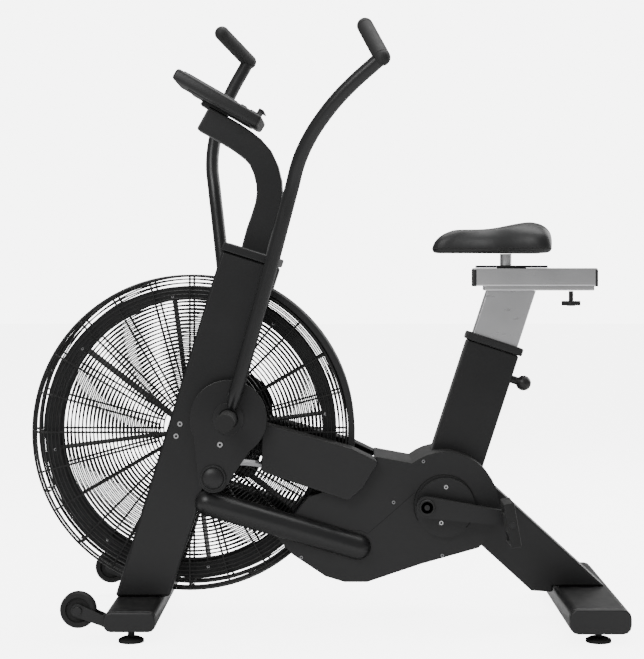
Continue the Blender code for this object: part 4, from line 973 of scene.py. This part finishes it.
saddle.data = inflate(saddle, SADDLE_CAP)
for vertex in saddle.data.vertices:
    vertex.co.x = min(max(vertex.co.x, saddle_low.x), saddle_high.x)
    vertex.co.z = min(max(vertex.co.z, saddle_low.z + SADDLE_BASE), saddle_high.z + SADDLE_RISE)
smooth = saddle.modifiers.new("smooth", "SMOOTH")
smooth.iterations = 6
smooth.factor = 0.5
finer = saddle.modifiers.new("finer", "SUBSURF")
finer.levels = finer.render_levels = 1
saddle.data = shade(evaluated_mesh(saddle), 60)
saddle.modifiers.clear()
saddle.data.name = "saddle_pad"
saddle.data.materials.clear()
saddle.data.materials.append(VINYL)
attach(saddle, "saddle")
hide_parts("saddle")
print("saddle filled", [round(c, 4) for c in saddle.dimensions])

# %% [markdown]
# A bead of piping closes the cover where it meets the shell. Its path is the cut of a level plane
# through the finished pad, and a small tree sweeps the bead along that path.
# %% Piping
PIPING_HEIGHT = 0.0105      # above the underside
bead_tree, bead_in, bead_out = geometry_tree("bead", [
    ("Bead", "Float", 0.0011), ("Material", "Material", None)])
bead_line = geo(bead_tree, "GeometryNodeMeshToCurve", Mesh=bead_in.outputs["Geometry"])
end_tree(bead_tree, bead_in, bead_out, swept(bead_tree, bead_line, bead_in.outputs["Bead"], 8))


def level_cut(mesh, height):
    """The line, as points and edges, where a level plane meets the mesh."""
    bm = bmesh.new()
    bm.from_mesh(mesh)
    everything = bm.verts[:] + bm.edges[:] + bm.faces[:]
    cut = bmesh.ops.bisect_plane(bm, geom=everything, plane_co=(0, 0, height), plane_no=(0, 0, 1))
    edges = [e for e in cut["geom_cut"] if isinstance(e, bmesh.types.BMEdge)]
    order = {v: i for i, v in enumerate(dict.fromkeys(v for e in edges for v in e.verts))}
    line = points_mesh([v.co for v in order], [(order[e.verts[0]], order[e.verts[1]]) for e in edges])
    bm.free()
    return line


mesh = grow(bead_tree, {"Material": RUBBER}, level_cut(saddle.data, saddle_low.z + PIPING_HEIGHT))
mesh = shade(mesh, 60)
mesh.name = "saddle_piping"
piece("saddle_piping", mesh, RUBBER, "saddle")
print("piping", len(mesh.polygons), "faces")

# %% [markdown]
# The saddle stands on a bright stub, and its rail has dark plastic ends that stop the carriage.
# %% Stub and rail ends
STUB_X = 0.3888
STUB_GAP = 0.0004           # left free below the saddle
PLATE_TOP = 0.7498          # top of the carriage's plate
stub_length = saddle_low.z - STUB_GAP - PLATE_TOP
rail_low, rail_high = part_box("seat_rail")
sleeve = [(0.0112, 0.0), (0.0124, 0.0), (0.0124, stub_length), (0.0112, stub_length)]
mesh = turned_mesh("saddle_stub", sleeve, (STUB_X, 0, PLATE_TOP), (0, 0, 1), closed=True)
piece(mesh.name, mesh, CHROME, "saddle")
END_THICK = 0.005
END_SIZE = (END_THICK + 0.001, 0.0655, 0.0360)
END_HEIGHT = 0.7232
for name, x in (("front", rail_low.x + END_THICK / 2), ("rear", rail_high.x - END_THICK / 2)):
    mesh = shade(block(END_SIZE, (x, 0, END_HEIGHT), 0.0015), 60)
    mesh.name = "rail_end_" + name
    piece(mesh.name, mesh, COVER, "seat_post")
print("stub and rail ends")
